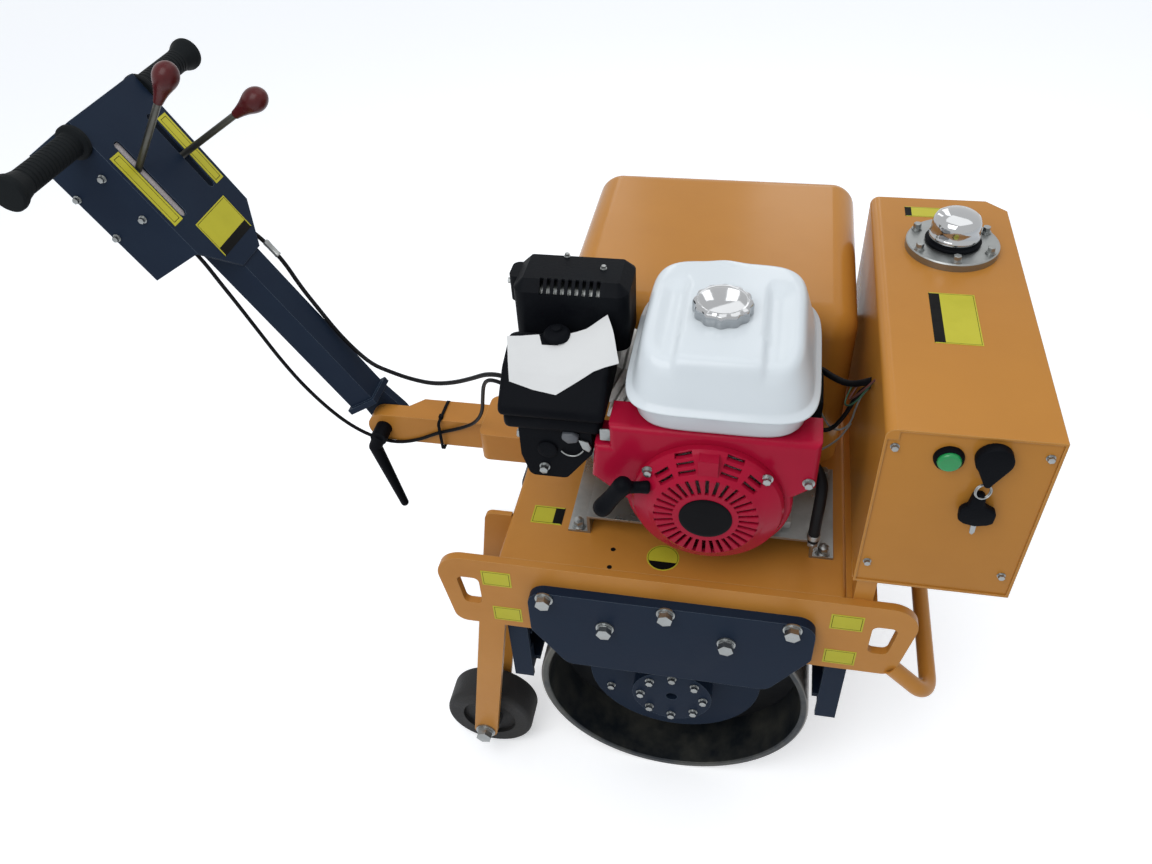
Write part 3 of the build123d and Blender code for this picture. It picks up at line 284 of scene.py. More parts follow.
def seat(place, normal, ahead):
    """Stands the active piece, made at the origin along +Z, on a surface, its +X turned ahead."""
    bpy.ops.object.mode_set(mode="OBJECT")
    up = Vector(normal).normalized()
    side = (Vector(ahead) - up * up.dot(Vector(ahead))).normalized()
    turn = Matrix((side, up.cross(side), up)).transposed().to_4x4()
    bpy.context.object.matrix_world = Matrix.Translation(place) @ turn
    bpy.ops.object.transform_apply()


def finish(name, body, *materials, angle=35):
    """Names the active piece and gives it its finish, smoothness and body; a blended piece has no body."""
    bpy.ops.object.mode_set(mode="OBJECT")
    piece = bpy.context.object
    piece.name = piece.data.name = name
    bpy.ops.object.transform_apply()
    bpy.ops.object.shade_smooth_by_angle(angle=math.radians(angle))
    for slot, material in enumerate(materials):
        if slot < len(piece.data.materials):
            piece.data.materials[slot] = material
        else:
            piece.data.materials.append(material)
    if body:
        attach(piece, body)
    return piece


def dye(test):
    """Faces of the active piece that pass the test take its second material."""
    bpy.ops.object.mode_set(mode="OBJECT")
    mesh = bpy.context.object.data
    while len(mesh.materials) < 2:
        mesh.materials.append(None)
    for face in mesh.polygons:
        if test(face):
            face.material_index = 1


def foil_plate(name, body, place, normal, ahead, length, width, band=0.0, margin=2.2, line=0.7):
    """A blank plate, length along ahead; the band at its +X end and the line round it are black."""
    clear()
    bpy.ops.mesh.primitive_plane_add(size=1)
    bpy.context.object.scale = (length * mm, width * mm, 1)
    bpy.ops.object.transform_apply()
    bpy.ops.object.mode_set(mode="EDIT")
    bpy.ops.mesh.select_all(action="SELECT")
    bpy.ops.mesh.extrude_region_move(TRANSFORM_OT_translate={"value": (0, 0, 0.4 * mm)})
    bpy.ops.mesh.inset(thickness=margin * mm)
    bpy.ops.mesh.inset(thickness=line * mm)
    half_x, half_y = length / 2 * mm, width / 2 * mm
    outer, inner = margin * mm * 0.98, (margin + line) * mm * 1.02

    def in_line(face):
        x, y = abs(face.center.x), abs(face.center.y)
        gap = min(half_x - x, half_y - y)
        return face.normal.z > 0.9 and outer < gap < inner

    dye(in_line)
    if band:
        pick(lambda face: face.normal.z > 0.9)
        bpy.ops.mesh.bisect(plane_co=(half_x - band * mm, 0, 0), plane_no=(1, 0, 0))
        reach = half_y - inner
        dye(lambda f: f.normal.z > 0.9 and f.center.x > half_x - band * mm and abs(f.center.y) < reach)
    bpy.ops.object.mode_set(mode="EDIT")
    bpy.ops.mesh.select_all(action="SELECT")
    bpy.ops.mesh.normals_make_consistent(inside=False)
    seat(place, normal, ahead)
    return finish(name, body, foil_yellow, foil_black)


plate_face = 328.5
deck_top = 534
near = Vector((0, -1, 0))
far = Vector((0, 1, 0))
up = Vector((0, 0, 1))
forward = Vector((1, 0, 0))
for name, x, z in (
    ("rear_upper", -250, 498),
    ("rear_lower", -241, 419),
    ("front_upper", 233, 496),
    ("front_lower", 233, 418),
):
    foil_plate(f"ear_plate_{name}", "frame", at(x, -plate_face, z), near, forward, 43, 31)
foil_plate("deck_plate", "frame", at(-193, -229.5, deck_top), up, forward, 46, 34, band=14)
clear()
bpy.ops.mesh.primitive_circle_add(vertices=48, radius=22.5 * mm, fill_type="NGON")
bpy.ops.object.mode_set(mode="EDIT")
bpy.ops.mesh.extrude_region_move(TRANSFORM_OT_translate={"value": (0, 0, 0.4 * mm)})
bpy.ops.mesh.inset(thickness=1.6 * mm)
bpy.ops.mesh.inset(thickness=0.7 * mm)
bpy.ops.mesh.bisect(plane_co=(0, -7 * mm, 0), plane_no=(0, 1, 0))
dye(
    lambda f: f.normal.z > 0.9
    and (
        20.0 * mm < f.center.xy.length < 20.85 * mm
        or (f.center.y < -7 * mm and f.center.xy.length < 20 * mm)
    )
)
bpy.ops.object.mode_set(mode="EDIT")
bpy.ops.mesh.select_all(action="SELECT")
bpy.ops.mesh.normals_make_consistent(inside=False)
seat(at(-18.4, -285.2, deck_top), up, forward)
finish("deck_round_plate", "frame", foil_yellow, foil_black)


# Drilled holes in the deck for a cover that isn't fitted. Each is drawn as a thin black disc with a
# burred rim, a painted shade for the dark inside the hole.
def turned(sections, sides=48):
    """A closed round form up the Z axis from (radius, height) sections in millimetres."""
    clear()
    radius, height = sections[0]
    bpy.ops.mesh.primitive_circle_add(
        vertices=sides, radius=radius * mm, fill_type="NGON", location=(0, 0, height * mm)
    )
    bpy.ops.object.transform_apply()
    bpy.ops.object.mode_set(mode="EDIT")
    bpy.ops.mesh.select_mode(type="FACE")
    bpy.ops.mesh.select_all(action="SELECT")
    for (radius_a, z_a), (radius_b, z_b) in zip(sections, sections[1:]):
        bpy.ops.mesh.extrude_region_move(TRANSFORM_OT_translate={"value": (0, 0, (z_b - z_a) * mm)})
        grow = radius_b / radius_a
        bpy.ops.transform.resize(value=(grow, grow, 1), center_override=(0, 0, z_b * mm))
    bpy.ops.mesh.select_all(action="SELECT")
    bpy.ops.mesh.normals_make_consistent(inside=False)
    bpy.ops.object.mode_set(mode="OBJECT")


for name, x, y in (("deck_hole_inner", -89, -280), ("deck_hole_outer", -89, -312)):
    turned([(3.6, 0), (3.2, 0.35), (2.6, 0.35), (2.3, 0.12)], sides=20)
    seat(at(x, y, deck_top), up, forward)
    finish(name, "frame", foil_black)


# Hangers and hub carriers: thick plates in dark blue enamel. Five washered bolts hold each
# hanger to its side plate, and eight small ones hold the hub boss round its centre hole.
# The blue edges are painted lighter: partly rubbed paint, partly a painted highlight.
deep_blue = surface(
    "deep_blue_enamel", (0.009, 0.0165, 0.033), (0.017, 0.027, 0.044), 0.48, patch=9, grain=140, bump=0.05,
    shine=0.06,
    edge_wear_and_highlight=(0.13, 0.17, 0.21),
)
paint_nodes(
    deep_blue,
    "right_hanger",
    "left_hanger",
    "right_hub_carrier",
    "left_hub_carrier",
    "rear_scraper",
    "front_scraper",
)
zinc = surface(
    "zinc_plate", (0.31, 0.325, 0.325), (0.17, 0.175, 0.17), 0.32, metallic=0.95, patch=18, grain=300,
    bump=0.08, edge=0.4,
)


def hex_bolt(across, head, washer, thickness):
    """A hexagon head with its chamfered top, over a spring washer and a flat washer."""
    clear()
    bpy.ops.mesh.primitive_cylinder_add(
        vertices=6,
        radius=across / math.sqrt(3) * mm,
        depth=head * mm,
        location=(0, 0, (2 * thickness + head / 2) * mm),
    )
    bpy.ops.object.transform_apply()
    pick(lambda face: face.normal.z > 0.9)
    bpy.ops.mesh.inset(thickness=across * 0.07 * mm)
    bpy.ops.transform.translate(value=(0, 0, head * 0.08 * mm))
    bpy.ops.mesh.primitive_cylinder_add(
        vertices=28, radius=washer / 2 * mm, depth=thickness * mm, location=(0, 0, thickness / 2 * mm)
    )
    bpy.ops.mesh.primitive_cylinder_add(
        vertices=24, radius=washer * 0.42 * mm, depth=thickness * mm, location=(0, 0, thickness * 1.5 * mm)
    )
    bpy.ops.object.mode_set(mode="OBJECT")
    return bpy.context.object


def bolt_group(name, body, places, normal, pattern, material=zinc):
    """Copies a pattern to each place, turned a little each time, joins the copies and drops the pattern."""
    copies = []
    for turn, place in enumerate(places):
        clear()
        bolt = pattern.copy()
        bolt.data = pattern.data.copy()
        bpy.context.collection.objects.link(bolt)
        bolt.select_set(True)
        bpy.context.view_layer.objects.active = bolt
        ahead = Vector((math.cos(turn * 0.9), math.sin(turn * 0.9), math.cos(turn * 1.7)))
        seat(place, normal, ahead)
        copies.append(bolt)
    clear()
    pattern.select_set(True)
    bpy.ops.object.delete()
    for bolt in copies:
        bolt.select_set(True)
    bpy.context.view_layer.objects.active = copies[0]
    bpy.ops.object.join()
    return finish(name, body, material)


hanger_face = 343.5
carrier_face = 298.5
hub_height = 212.5
for side, sign in (("right", -1), ("left", 1)):
    normal = Vector((0, sign, 0))
    spots = ((-178, 487), (-7, 487), (163.5, 487), (-93, 437), (78, 437))
    bolt_group(
        f"{side}_hanger_bolts", "frame", [at(x, sign * hanger_face, z) for x, z in spots], normal,
        hex_bolt(19, 9, 26, 2.4),
    )
    ring = [(50 * math.cos(k * math.pi / 4), 50 * math.sin(k * math.pi / 4)) for k in range(8)]
    bolt_group(
        f"{side}_hub_bolts", "frame", [at(x, sign * carrier_face, hub_height + z) for x, z in ring], normal,
        hex_bolt(10, 5, 14, 1.2),
    )
    bolt_group(
        f"{side}_carrier_bolt", "frame", [at(-104, sign * 263.5, 168)], normal, hex_bolt(10, 5, 14, 1.2)
    )


# Drum: a rolled steel shell, worn bright on its rolling face and rims, with oily black webs and
# an oily bore. The web and the exciter tube keep the mill's dark skin.
drum_steel = surface(
    "rolled_steel", (0.014, 0.018, 0.023), (0.12, 0.115, 0.09), 0.36, metallic=0.5, patch=11, grain=60,
    bump=0.25, spread=0.7,
)
nodes, links = drum_steel.node_tree.nodes, drum_steel.node_tree.links
place = nodes.new("ShaderNodeTexCoord")
offset = nodes.new("ShaderNodeVectorMath")
offset.operation = "SUBTRACT"
offset.inputs[1].default_value = axle
flat = nodes.new("ShaderNodeVectorMath")
flat.operation = "MULTIPLY"
flat.inputs[1].default_value = (1, 0, 1)
radius = nodes.new("ShaderNodeVectorMath")
radius.operation = "LENGTH"
worn = nodes.new("ShaderNodeMapRange")
worn.inputs["From Min"].default_value = 208.5 * mm
worn.inputs["From Max"].default_value = 211.5 * mm
rust = nodes.new("ShaderNodeTexNoise")
rust.inputs["Scale"].default_value = 14
rust.inputs["Detail"].default_value = 8
bright = nodes.new("ShaderNodeMix")
bright.data_type = "RGBA"
bright.inputs["A"].default_value = (0.34, 0.335, 0.32, 1)
bright.inputs["B"].default_value = (0.13, 0.11, 0.09, 1)
skin = nodes.new("ShaderNodeMix")
skin.data_type = "RGBA"
links.new(place.outputs["Object"], offset.inputs[0])
links.new(offset.outputs["Vector"], flat.inputs[0])
links.new(flat.outputs["Vector"], radius.inputs[0])
links.new(radius.outputs["Value"], worn.inputs["Value"])
links.new(place.outputs["Object"], rust.inputs["Vector"])
links.new(rust.outputs["Fac"], bright.inputs["Factor"])
links.new(worn.outputs["Result"], skin.inputs["Factor"])
shader = nodes["Principled BSDF"]
links.new(shader.inputs["Base Color"].links[0].from_socket, skin.inputs["A"])
links.new(bright.outputs["Result"], skin.inputs["B"])
links.new(skin.outputs["Result"], shader.inputs["Base Color"])
paint_nodes(drum_steel, "drum_shell")
web_black = surface(
    "oily_web", (0.006, 0.007, 0.009), (0.02, 0.02, 0.018), 0.4, patch=8, grain=80, bump=0.2, shine=0.3
)
paint_nodes(web_black, "drum_webs")


# Support wheels: two solid rubber wheels on plain hubs, which keep the roller from tipping back.
# Each turns on a bolt through the leg and its fork plate.
wheel_rubber = surface(
    "wheel_rubber", (0.012, 0.012, 0.013), (0.04, 0.038, 0.034), 0.7, patch=12, grain=300, bump=0.3, shine=0.3
)
paint_nodes(wheel_rubber, "right_support_wheel", "left_support_wheel")
paint_nodes(zinc, "wheel_axles")
for side, sign in (("right", -1), ("left", 1)):
    bolt_group(
        f"{side}_wheel_bolt", "frame", [at(-315.6, sign * plate_face, 75)], (0, sign, 0),
        hex_bolt(24, 10, 34, 3),
    )


# Drawbar clamp: the bolt through the handle's pivot and the moulded lever that tightens it. A
# nylon tie holds the throttle cable to the drawbar.
black_plastic = surface(
    "black_plastic", (0.0035, 0.004, 0.0055), (0.009, 0.01, 0.012), 0.5, patch=14, grain=500, bump=0.16,
    edge=2.5,
    shine=0.03,
)
paint_nodes(zinc, "clamp_bolt")
paint_nodes(black_plastic, "clamp_lever")
clear()
bpy.ops.mesh.primitive_cube_add(size=1)
bpy.context.object.scale = (5 * mm, 61 * mm, 58.5 * mm)
bpy.ops.object.transform_apply()
pick(lambda face: abs(face.normal.x) > 0.9)
bpy.ops.mesh.delete(type="FACE")
bpy.ops.mesh.select_mode(type="EDGE")
bpy.ops.mesh.select_all(action="SELECT")
bpy.ops.mesh.bevel(offset=5 * mm, segments=4)
bpy.ops.object.mode_set(mode="OBJECT")
bpy.ops.object.modifier_add(type="SOLIDIFY")
bpy.context.object.modifiers[-1].thickness = 1.3 * mm
bpy.context.object.modifiers[-1].offset = 1
bpy.ops.object.modifier_apply(modifier=bpy.context.object.modifiers[-1].name)
bpy.ops.object.mode_set(mode="EDIT")
bpy.ops.mesh.primitive_cube_add(size=6 * mm, location=(0, -14 * mm, 31 * mm))
bpy.ops.transform.resize(value=(1.1, 1.3, 0.9), center_override=(0, -14 * mm, 31 * mm))
seat(at(-424, -5.0, 483), up, forward)
finish("cable_tie", "frame", black_plastic)


# Control cables: black sheathed wires that hang from the console to the engine. They bend with
# the handle, and the upper one has a crimped zinc ferrule at its top.
def hose(points, diameter, flow=6):
    """A round tube along a smooth line through places in millimetres, its ends closed."""
    clear()
    line = bpy.data.curves.new("hose", "CURVE")
    line.dimensions = "3D"
    spline = line.splines.new("NURBS")
    spline.points.add(len(points) - 1)
    for knot, place in zip(spline.points, points):
        knot.co = (*at(*place), 1)
    spline.order_u = 3
    spline.use_endpoint_u = True
    spline.resolution_u = flow
    line.bevel_depth = diameter / 2 * mm
    line.bevel_resolution = 3
    line.use_fill_caps = True
    tube = bpy.data.objects.new("hose", line)
    bpy.context.collection.objects.link(tube)
    tube.select_set(True)
    bpy.context.view_layer.objects.active = tube
    bpy.ops.object.convert(target="MESH")
    bpy.ops.object.mode_set(mode="EDIT")
    bpy.ops.mesh.select_all(action="SELECT")
    bpy.ops.mesh.remove_doubles(threshold=0.01 * mm)
    bpy.ops.mesh.normals_make_consistent(inside=False)
    bpy.ops.object.mode_set(mode="OBJECT")


cable_black = surface(
    "cable_sheath", (0.006, 0.006, 0.007), (0.014, 0.014, 0.014), 0.4, patch=20, grain=600, bump=0.05,
    edge=0.2,
    shine=0.06,
)
upper_route = [
    (-739.0, 48, 850.4), (-720.5, 48, 820.5), (-692, 47, 793), (-667, 43, 761),
    (-645, 35, 719), (-619, 26, 684), (-594, 20, 645), (-568, 17, 611),
    (-540, 10, 590), (-506, 2, 584), (-468, -14, 587), (-420, -38, 601),
    (-374, -63, 628), (-332, -89, 662), (-297, -115, 696), (-260, -143, 718),
    (-220, -165, 717), (-190, -190, 713), (-190, -213.7, 713),
]
lower_route = [
    (-740.7, -68, 849.4), (-727.4, -68, 827.9), (-711, -72, 798), (-694, -70, 754),
    (-678, -64, 700), (-661, -57, 641), (-641, -49, 584), (-614, -41, 530),
    (-586, -34, 489), (-551, -29, 461), (-511, -28.3, 452), (-470, -28.3, 463),
    (-431, -28.3, 485), (-392, -30, 500), (-358, -40, 525), (-335, -58, 567),
    (-321, -84, 622), (-307, -108, 672), (-286, -132, 701), (-252, -152, 707),
    (-213, -170, 702), (-178, -190, 700), (-178, -213.7, 700),
]
for name, points, diameter in (("upper_cable", upper_route, 7), ("lower_cable", lower_route, 6)):
    hose(points, diameter)
    cable = finish(name, None, cable_black, angle=60)
    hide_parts(name)
    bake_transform(cable)
turned([(3.6, 0), (5.2, 0), (5.4, 3), (5.0, 4), (5.0, 22), (5.4, 23), (5.4, 28), (3.7, 30)], sides=24)
seat(at(-674, 45, 769.5), (-25, 4, 32), forward)
finish("cable_ferrule", "handle", zinc)


# Handle arm and console: square tube welded into a folded sheet console that is open below, in
# the same dark blue. Four small bolts on each side hold the lever bracket inside.
paint_nodes(deep_blue, "handle_arm", "console", "handlebar")
paint_nodes(zinc, "lever_shaft")
pivot = at(-528.5, 0, 483)
arm = Vector((-0.52547, 0, 0.85081))
arm_up = Vector((0.85081, 0, 0.52547))
console_top = 27


def on_handle(u, y, n):
    """A place u along the arm from the pivot, y to the left and n above the arm's axis, in millimetres."""
    return pivot + (arm * u + far * y + arm_up * n) * mm


for side, sign in (("right", -1), ("left", 1)):
    spots = ((563, -2.5), (562, -67.5), (491, -2.3), (491.5, -67))
    bolt_group(
        f"{side}_console_bolts",
        "handle",
        [on_handle(u, sign * 81, n) for u, n in spots],
        (0, sign, 0),
        hex_bolt(8, 4.5, 12, 1),
    )
for name, y in (("near", -63.8), ("far", 63.8)):
    foil_plate(
        f"console_strip_{name}", "handle", on_handle(517, y, console_top), arm_up, arm, 118, 22, margin=4,
        line=0.9,
    )
foil_plate(
    "console_square_plate", "handle", on_handle(410, 1, console_top), arm_up, -arm, 60, 88, band=14, margin=2,
    line=0.8,
)


# Dust felt under the console's right slot: a grey strip glued below the sheet, which the throttle
# lever runs through.
def slab_from(corners, push):
    """A solid with the given corners in order, pushed along a vector; both in metres."""
    clear()
    bpy.ops.mesh.primitive_circle_add(vertices=len(corners), radius=1, fill_type="NGON")
    for vertex, corner in zip(bpy.context.object.data.vertices, corners):
        vertex.co = corner
    bpy.ops.object.mode_set(mode="EDIT")
    bpy.ops.mesh.select_all(action="SELECT")
    bpy.ops.mesh.extrude_region_move(TRANSFORM_OT_translate={"value": push})
    bpy.ops.mesh.select_all(action="SELECT")
    bpy.ops.mesh.normals_make_consistent(inside=False)
    bpy.ops.object.mode_set(mode="OBJECT")


felt = surface(
    "grey_felt", (0.42, 0.38, 0.37), (0.34, 0.3, 0.29), 0.95, patch=30, grain=700, bump=0.5, shine=0.1
)
slot_y = -44
corners = ((448, -8), (586, -8), (586, 8), (448, 8))
strip = [on_handle(u, slot_y + side, console_top - 4) for u, side in corners]
slab_from(strip, -arm_up * 1.5 * mm)
finish("slot_felt", "handle", felt)


# Control levers: plated rods on the shaft inside the console, one through each slot, worn dull by
# hands. A dark red moulded knob is screwed on the end of each.
rod_steel = surface(
    "rod_steel", (0.1, 0.1, 0.09), (0.05, 0.045, 0.035), 0.36, metallic=0.9, patch=24, grain=300, bump=0.1,
    edge=0.4,
)
paint_nodes(rod_steel, "control_levers")
knob_red = surface(
    "knob_red", (0.075, 0.01, 0.011), (0.035, 0.006, 0.007), 0.28, patch=30, grain=200, bump=0.02, edge=0.5,
    shine=0.2,
)
paint_nodes(knob_red, "lever_knobs")


# Hand grips: black rubber pushed on the bar's ends, with a collar against the console, fine
# ribs along the barrel and a mushroom end.
grip_rubber = surface(
    "grip_rubber", (0.006, 0.0075, 0.0085), (0.013, 0.015, 0.016), 0.6, patch=16, grain=380, bump=0.2,
    edge=0.8,
    shine=0.06,
)


grip_sections = [(12.4, 0), (23, 0), (24.7, 1.5), (24.7, 6), (23, 8.5), (18.2, 11)]
for rib in range(14):
    z = 14 + rib * 7.4
    grip_sections += [(17.9, z), (17.9, z + 4.6), (17.0, z + 5.4), (17.0, z + 6.6)]
grip_sections += [(18.4, 120), (20.5, 131), (23.6, 138), (24.6, 142), (24.4, 147), (22, 149.5), (10, 150)]
for side, sign in (("right", -1), ("left", 1)):
    turned(grip_sections)
    seat(on_handle(618.3, sign * 81, console_top - 16.3), (0, sign, 0), arm)
    grip = finish(f"{side}_grip", "handle", grip_rubber, angle=25)
    if side == "right":
        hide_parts("hand_grips")


# Engine base: zinc-plated sheet, bent down at its ends into feet. Four washered bolts hold the
# feet to the deck.
paint_nodes(zinc, "engine_base")
bolt_group(
    "engine_base_bolts",
    "frame",
    [at(x, y, 538) for x in (-144, 196) for y in (-245.5, -96)],
    up,
    hex_bolt(13, 7, 20, 2),
)


# Crankcase, cylinder and head: bare aluminium die castings with cooling fins and dust in their
# corners, bolted on the engine base.
alloy = surface(
    "cast_alloy", (0.42, 0.42, 0.41), (0.2, 0.2, 0.19), 0.45, metallic=0.9, patch=22, grain=420, bump=0.35
)
paint_nodes(alloy, "crankcase")


# Fan cover and starter cover: crimson pressings, held by small flanged screws. The starter
# carries a bare black disc in its middle.
crimson = surface(
    "crimson_enamel", (0.36, 0.006, 0.03), (0.27, 0.005, 0.022), 0.2, patch=7, grain=120, bump=0.02, edge=2,
    shine=0.09,
)
paint_nodes(crimson, "fan_shroud", "recoil_cover")
bolt_group(
    "shroud_screws",
    "frame",
    [at(-35.4, -313.4, 729.4), at(108.1, -313.4, 735.2), at(158, -300, 721.5)],
    near,
    hex_bolt(9, 5, 15, 1.2),
)
badge_black = surface(
    "badge_black", (0.003, 0.003, 0.004), (0.006, 0.006, 0.007), 0.3, patch=20, grain=200, bump=0.01,
    shine=0.04,
)
turned([(33, 0), (33, 0.9), (32.2, 1.2), (28, 1.25)], sides=64)
seat(at(38.6, -332.5, 675), near, forward)
finish("starter_badge", "frame", badge_black)


# Recoil grip: a moulded black pull handle, a waisted bar that swells at both ends, with a neck
# that runs into the starter cover. Bar and neck are one moulding, so they are fused and smoothed.
turned(
    [
        (3, 0), (8.5, 1.5), (11.8, 6), (12.6, 13), (11.6, 24), (11, 36), (11.6, 50), (12.4, 60), (11, 67),
        (7, 71), (3, 72),
    ],
)
seat(at(-95.5, -335, 669), (38, 0, 61), near)
bar = bpy.context.object
turned([(11, 0), (9.5, 5), (8, 12), (7.6, 26), (8.6, 34), (8, 37), (4, 38)])
seat(at(-68, -333, 715), (33, 9, -4), near)
bar.select_set(True)
bpy.ops.object.join()
bpy.ops.object.modifier_add(type="REMESH")
fuse = bpy.context.object.modifiers[-1]
fuse.mode = "VOXEL"
fuse.voxel_size = 1.4 * mm
bpy.ops.object.modifier_apply(modifier=fuse.name)
bpy.ops.object.modifier_add(type="SMOOTH")
bpy.context.object.modifiers[-1].iterations = 8
bpy.ops.object.modifier_apply(modifier=bpy.context.object.modifiers[-1].name)
grip = finish("pull_grip", "frame", black_plastic, angle=80)
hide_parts("recoil_grip")


# Fuel tank: two white enamelled pressings crimmed at a lip. The upper one is a soft dome with a
# raised panel round the filler and a shallow pocket on each side of it.
white_enamel = surface(
    "white_enamel", (0.61, 0.65, 0.67), (0.56, 0.6, 0.62), 0.18, patch=5, grain=90, bump=0.015, edge=3,
    shine=0.28,
)
tank_profile = [
    (0.0, 32, 886), (0.66, 32, 885), (0.72, 26.5, 883.5), (0.77, 22, 880), (0.81, 19, 875), (0.85, 16.8, 868),
    (0.9, 14, 857), (0.95, 10.5, 844), (1.0, 7, 831),
]


def ease(value, low, high):
    """0 below low and 1 above high, with a soft rise between them."""
    part = min(1.0, max(0.0, (value - low) / (high - low)))
    return part * part * (3 - 2 * part)


clear()
bpy.ops.mesh.primitive_grid_add(x_subdivisions=72, y_subdivisions=72, size=2)
for vertex in bpy.context.object.data.vertices:
    u, v = vertex.co.x, vertex.co.y
    ring = max(abs(u), abs(v))
    if ring < 1e-6:
        vertex.co = at(43, -183, 886)
        continue
    round_u = u / (abs(u / ring) ** 5 + abs(v / ring) ** 5) ** 0.2 / ring
    round_v = v / (abs(u / ring) ** 5 + abs(v / ring) ** 5) ** 0.2 / ring
    for (ring_a, inset_a, z_a), (ring_b, inset_b, z_b) in zip(tank_profile, tank_profile[1:]):
        if ring <= ring_b + 1e-6:
            part = (ring - ring_a) / (ring_b - ring_a)
            inset = inset_a + (inset_b - inset_a) * part
            z = z_a + (z_b - z_a) * part
            break
    reach = min(1.0, ring / 0.66)
    lean = ease(z, 826, 880)
    x = 45 - 3 * lean + round_u * (115 - inset) * reach
    y = -187 + 6 * lean + round_v * (126 - inset * 0.9) * reach
    across = abs(x - 41)
    pocket = ease(across, 47, 54) * (1 - ease(across, 62, 90)) * (1 - ease(y, -150, -110))
    neck = math.exp(-(((x - 34) / 20) ** 2) - (((y + 70) / 14) ** 2))
    vertex.co = at(x, y, z - 6.5 * pocket * ease(z, 858, 880) + 5 * neck * ease(z, 840, 880))
pick(lambda face: True)
bpy.ops.mesh.region_to_loop()
lip_and_pan = (
    (1.012, 3.5), (1.05, 2.5), (1.01, 2.2), (0.988, 1.6), (0.95, 1.2), (0.955, 27), (0.97, 6), (0.96, 3),
)
for grow, drop in lip_and_pan:
    bpy.ops.mesh.extrude_edges_move(TRANSFORM_OT_translate={"value": (0, 0, -drop * mm)})
    bpy.ops.transform.resize(value=(grow, grow, 1), center_override=at(45, -187, 800))
bpy.ops.mesh.edge_face_add()
bpy.ops.mesh.select_all(action="SELECT")
bpy.ops.mesh.normals_make_consistent(inside=False)
tank = finish("fuel_tank_shell", "frame", white_enamel, angle=50)
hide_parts("fuel_tank")


# Fuel cap: a chromed pressing with a domed top and twelve lobes round its skirt to grip it by. It
# turns on the tank's neck.
chrome = surface(
    "chrome", (0.42, 0.43, 0.44), (0.3, 0.31, 0.32), 0.07, metallic=1.0, patch=12, grain=200, bump=0.01,
    spread=0.2,
)
turned(
    [
        (29, 0), (34.6, 0.4), (35.4, 2), (35.4, 14), (34, 17), (30.5, 19), (28.6, 18.4), (27.6, 18.8),
        (20, 20.6), (8, 21.6),
    ],
    sides=144,
)
for vertex in bpy.context.object.data.vertices:
    radius = vertex.co.xy.length
    if radius > 31 * mm:
        turn = math.atan2(vertex.co.y, vertex.co.x)
        lobe = 1 + 0.035 * math.cos(12 * turn) * ease(radius, 31 * mm, 34 * mm)
        vertex.co.x *= lobe
        vertex.co.y *= lobe
seat(at(38, -190.5, 885), up, forward)
cap = finish("fuel_filler_cap", "frame", chrome, angle=30)
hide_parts("fuel_cap")


# Air cleaner: a moulded black cover with soft edges over its tray, screwed down at the top, with
# a curled blank paper label lying on its slope.
def soften(width, segments=4):
    """Rounds the edges of the active piece with an applied bevel, in millimetres."""
    bpy.ops.object.modifier_add(type="BEVEL")
    bevel = bpy.context.object.modifiers[-1]
    bevel.width = width * mm
    bevel.segments = segments
    bevel.limit_method = "ANGLE"
    bevel.angle_limit = math.radians(18)
    bpy.ops.object.modifier_apply(modifier=bevel.name)


slab_from(
    [
        at(-226, -295, 779),
        at(-226, -295, 793),
        at(-226, -255, 829),
        at(-226, -208, 845),
        at(-226, -186, 831),
        at(-226, -186, 779),
    ],
    (134 * mm, 0, 0),
)
soften(9, 5)
bpy.ops.object.mode_set(mode="EDIT")
bpy.ops.mesh.primitive_cube_add(size=1, location=at(-159, -240.5, 768))
bpy.ops.transform.resize(value=(125 * mm, 101 * mm, 24 * mm), center_override=at(-159, -240.5, 768))
bpy.ops.mesh.bevel(offset=8 * mm, segments=4)
cleaner = finish("air_cleaner_cover", "frame", black_plastic)
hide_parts("air_cleaner")
turned([(17, 0), (17, 5), (14, 9), (8, 10), (6.5, 10.5), (6.5, 14), (4, 15)], sides=32)
seat(at(-164, -207, 843), (0, 0, 1), forward)
finish("air_cleaner_knob", "frame", black_plastic)

paper = surface(
    "paper_label", (0.62, 0.62, 0.61), (0.56, 0.56, 0.55), 0.8, patch=12, grain=160, bump=0.05, edge=0.1,
    shine=0.1,
)
label_corners = [(-227, -214), (-207, -213), (-186, -210), (-180, -224), (-160, -222), (-150, -205),
                 (-128, -198), (-103, -185), (-92, -207), (-81, -238), (-120, -261),
                 (-153, -279), (-182, -276), (-213, -270)]
clear()
bpy.ops.mesh.primitive_circle_add(vertices=len(label_corners), radius=1, fill_type="NGON")
for vertex, (x, y) in zip(bpy.context.object.data.vertices, label_corners):
    vertex.co = at(x, y, 870)
bpy.ops.object.mode_set(mode="EDIT")
for cut in range(1, 13):
    bpy.ops.mesh.select_all(action="SELECT")
    bpy.ops.mesh.bisect(plane_co=at(-240 + cut * 12.5, 0, 0), plane_no=(1, 0, 0))
for cut in range(1, 14):
    bpy.ops.mesh.select_all(action="SELECT")
    bpy.ops.mesh.bisect(plane_co=at(0, -285 + cut * 7.5, 0), plane_no=(0, 1, 0))
bpy.ops.object.mode_set(mode="OBJECT")
for vertex in bpy.context.object.data.vertices:
    x, y = (vertex.co.x - axle.x) / mm, (vertex.co.y - axle.y) / mm
    bend = 829 + (y + 255) * (0.34 if y > -255 else 0.9)
    lift = 13 * ease(x, -135, -95) * ease(y, -245, -185) - 3 * ease(x, -96, -80)
    vertex.co.z = (bend + 1.2 + lift + 0.8 * math.sin(x * 0.09) * ease(y, -270, -240)) * mm
bpy.ops.object.modifier_add(type="SOLIDIFY")
bpy.context.object.modifiers[-1].thickness = 0.3 * mm
bpy.context.object.modifiers[-1].offset = 1
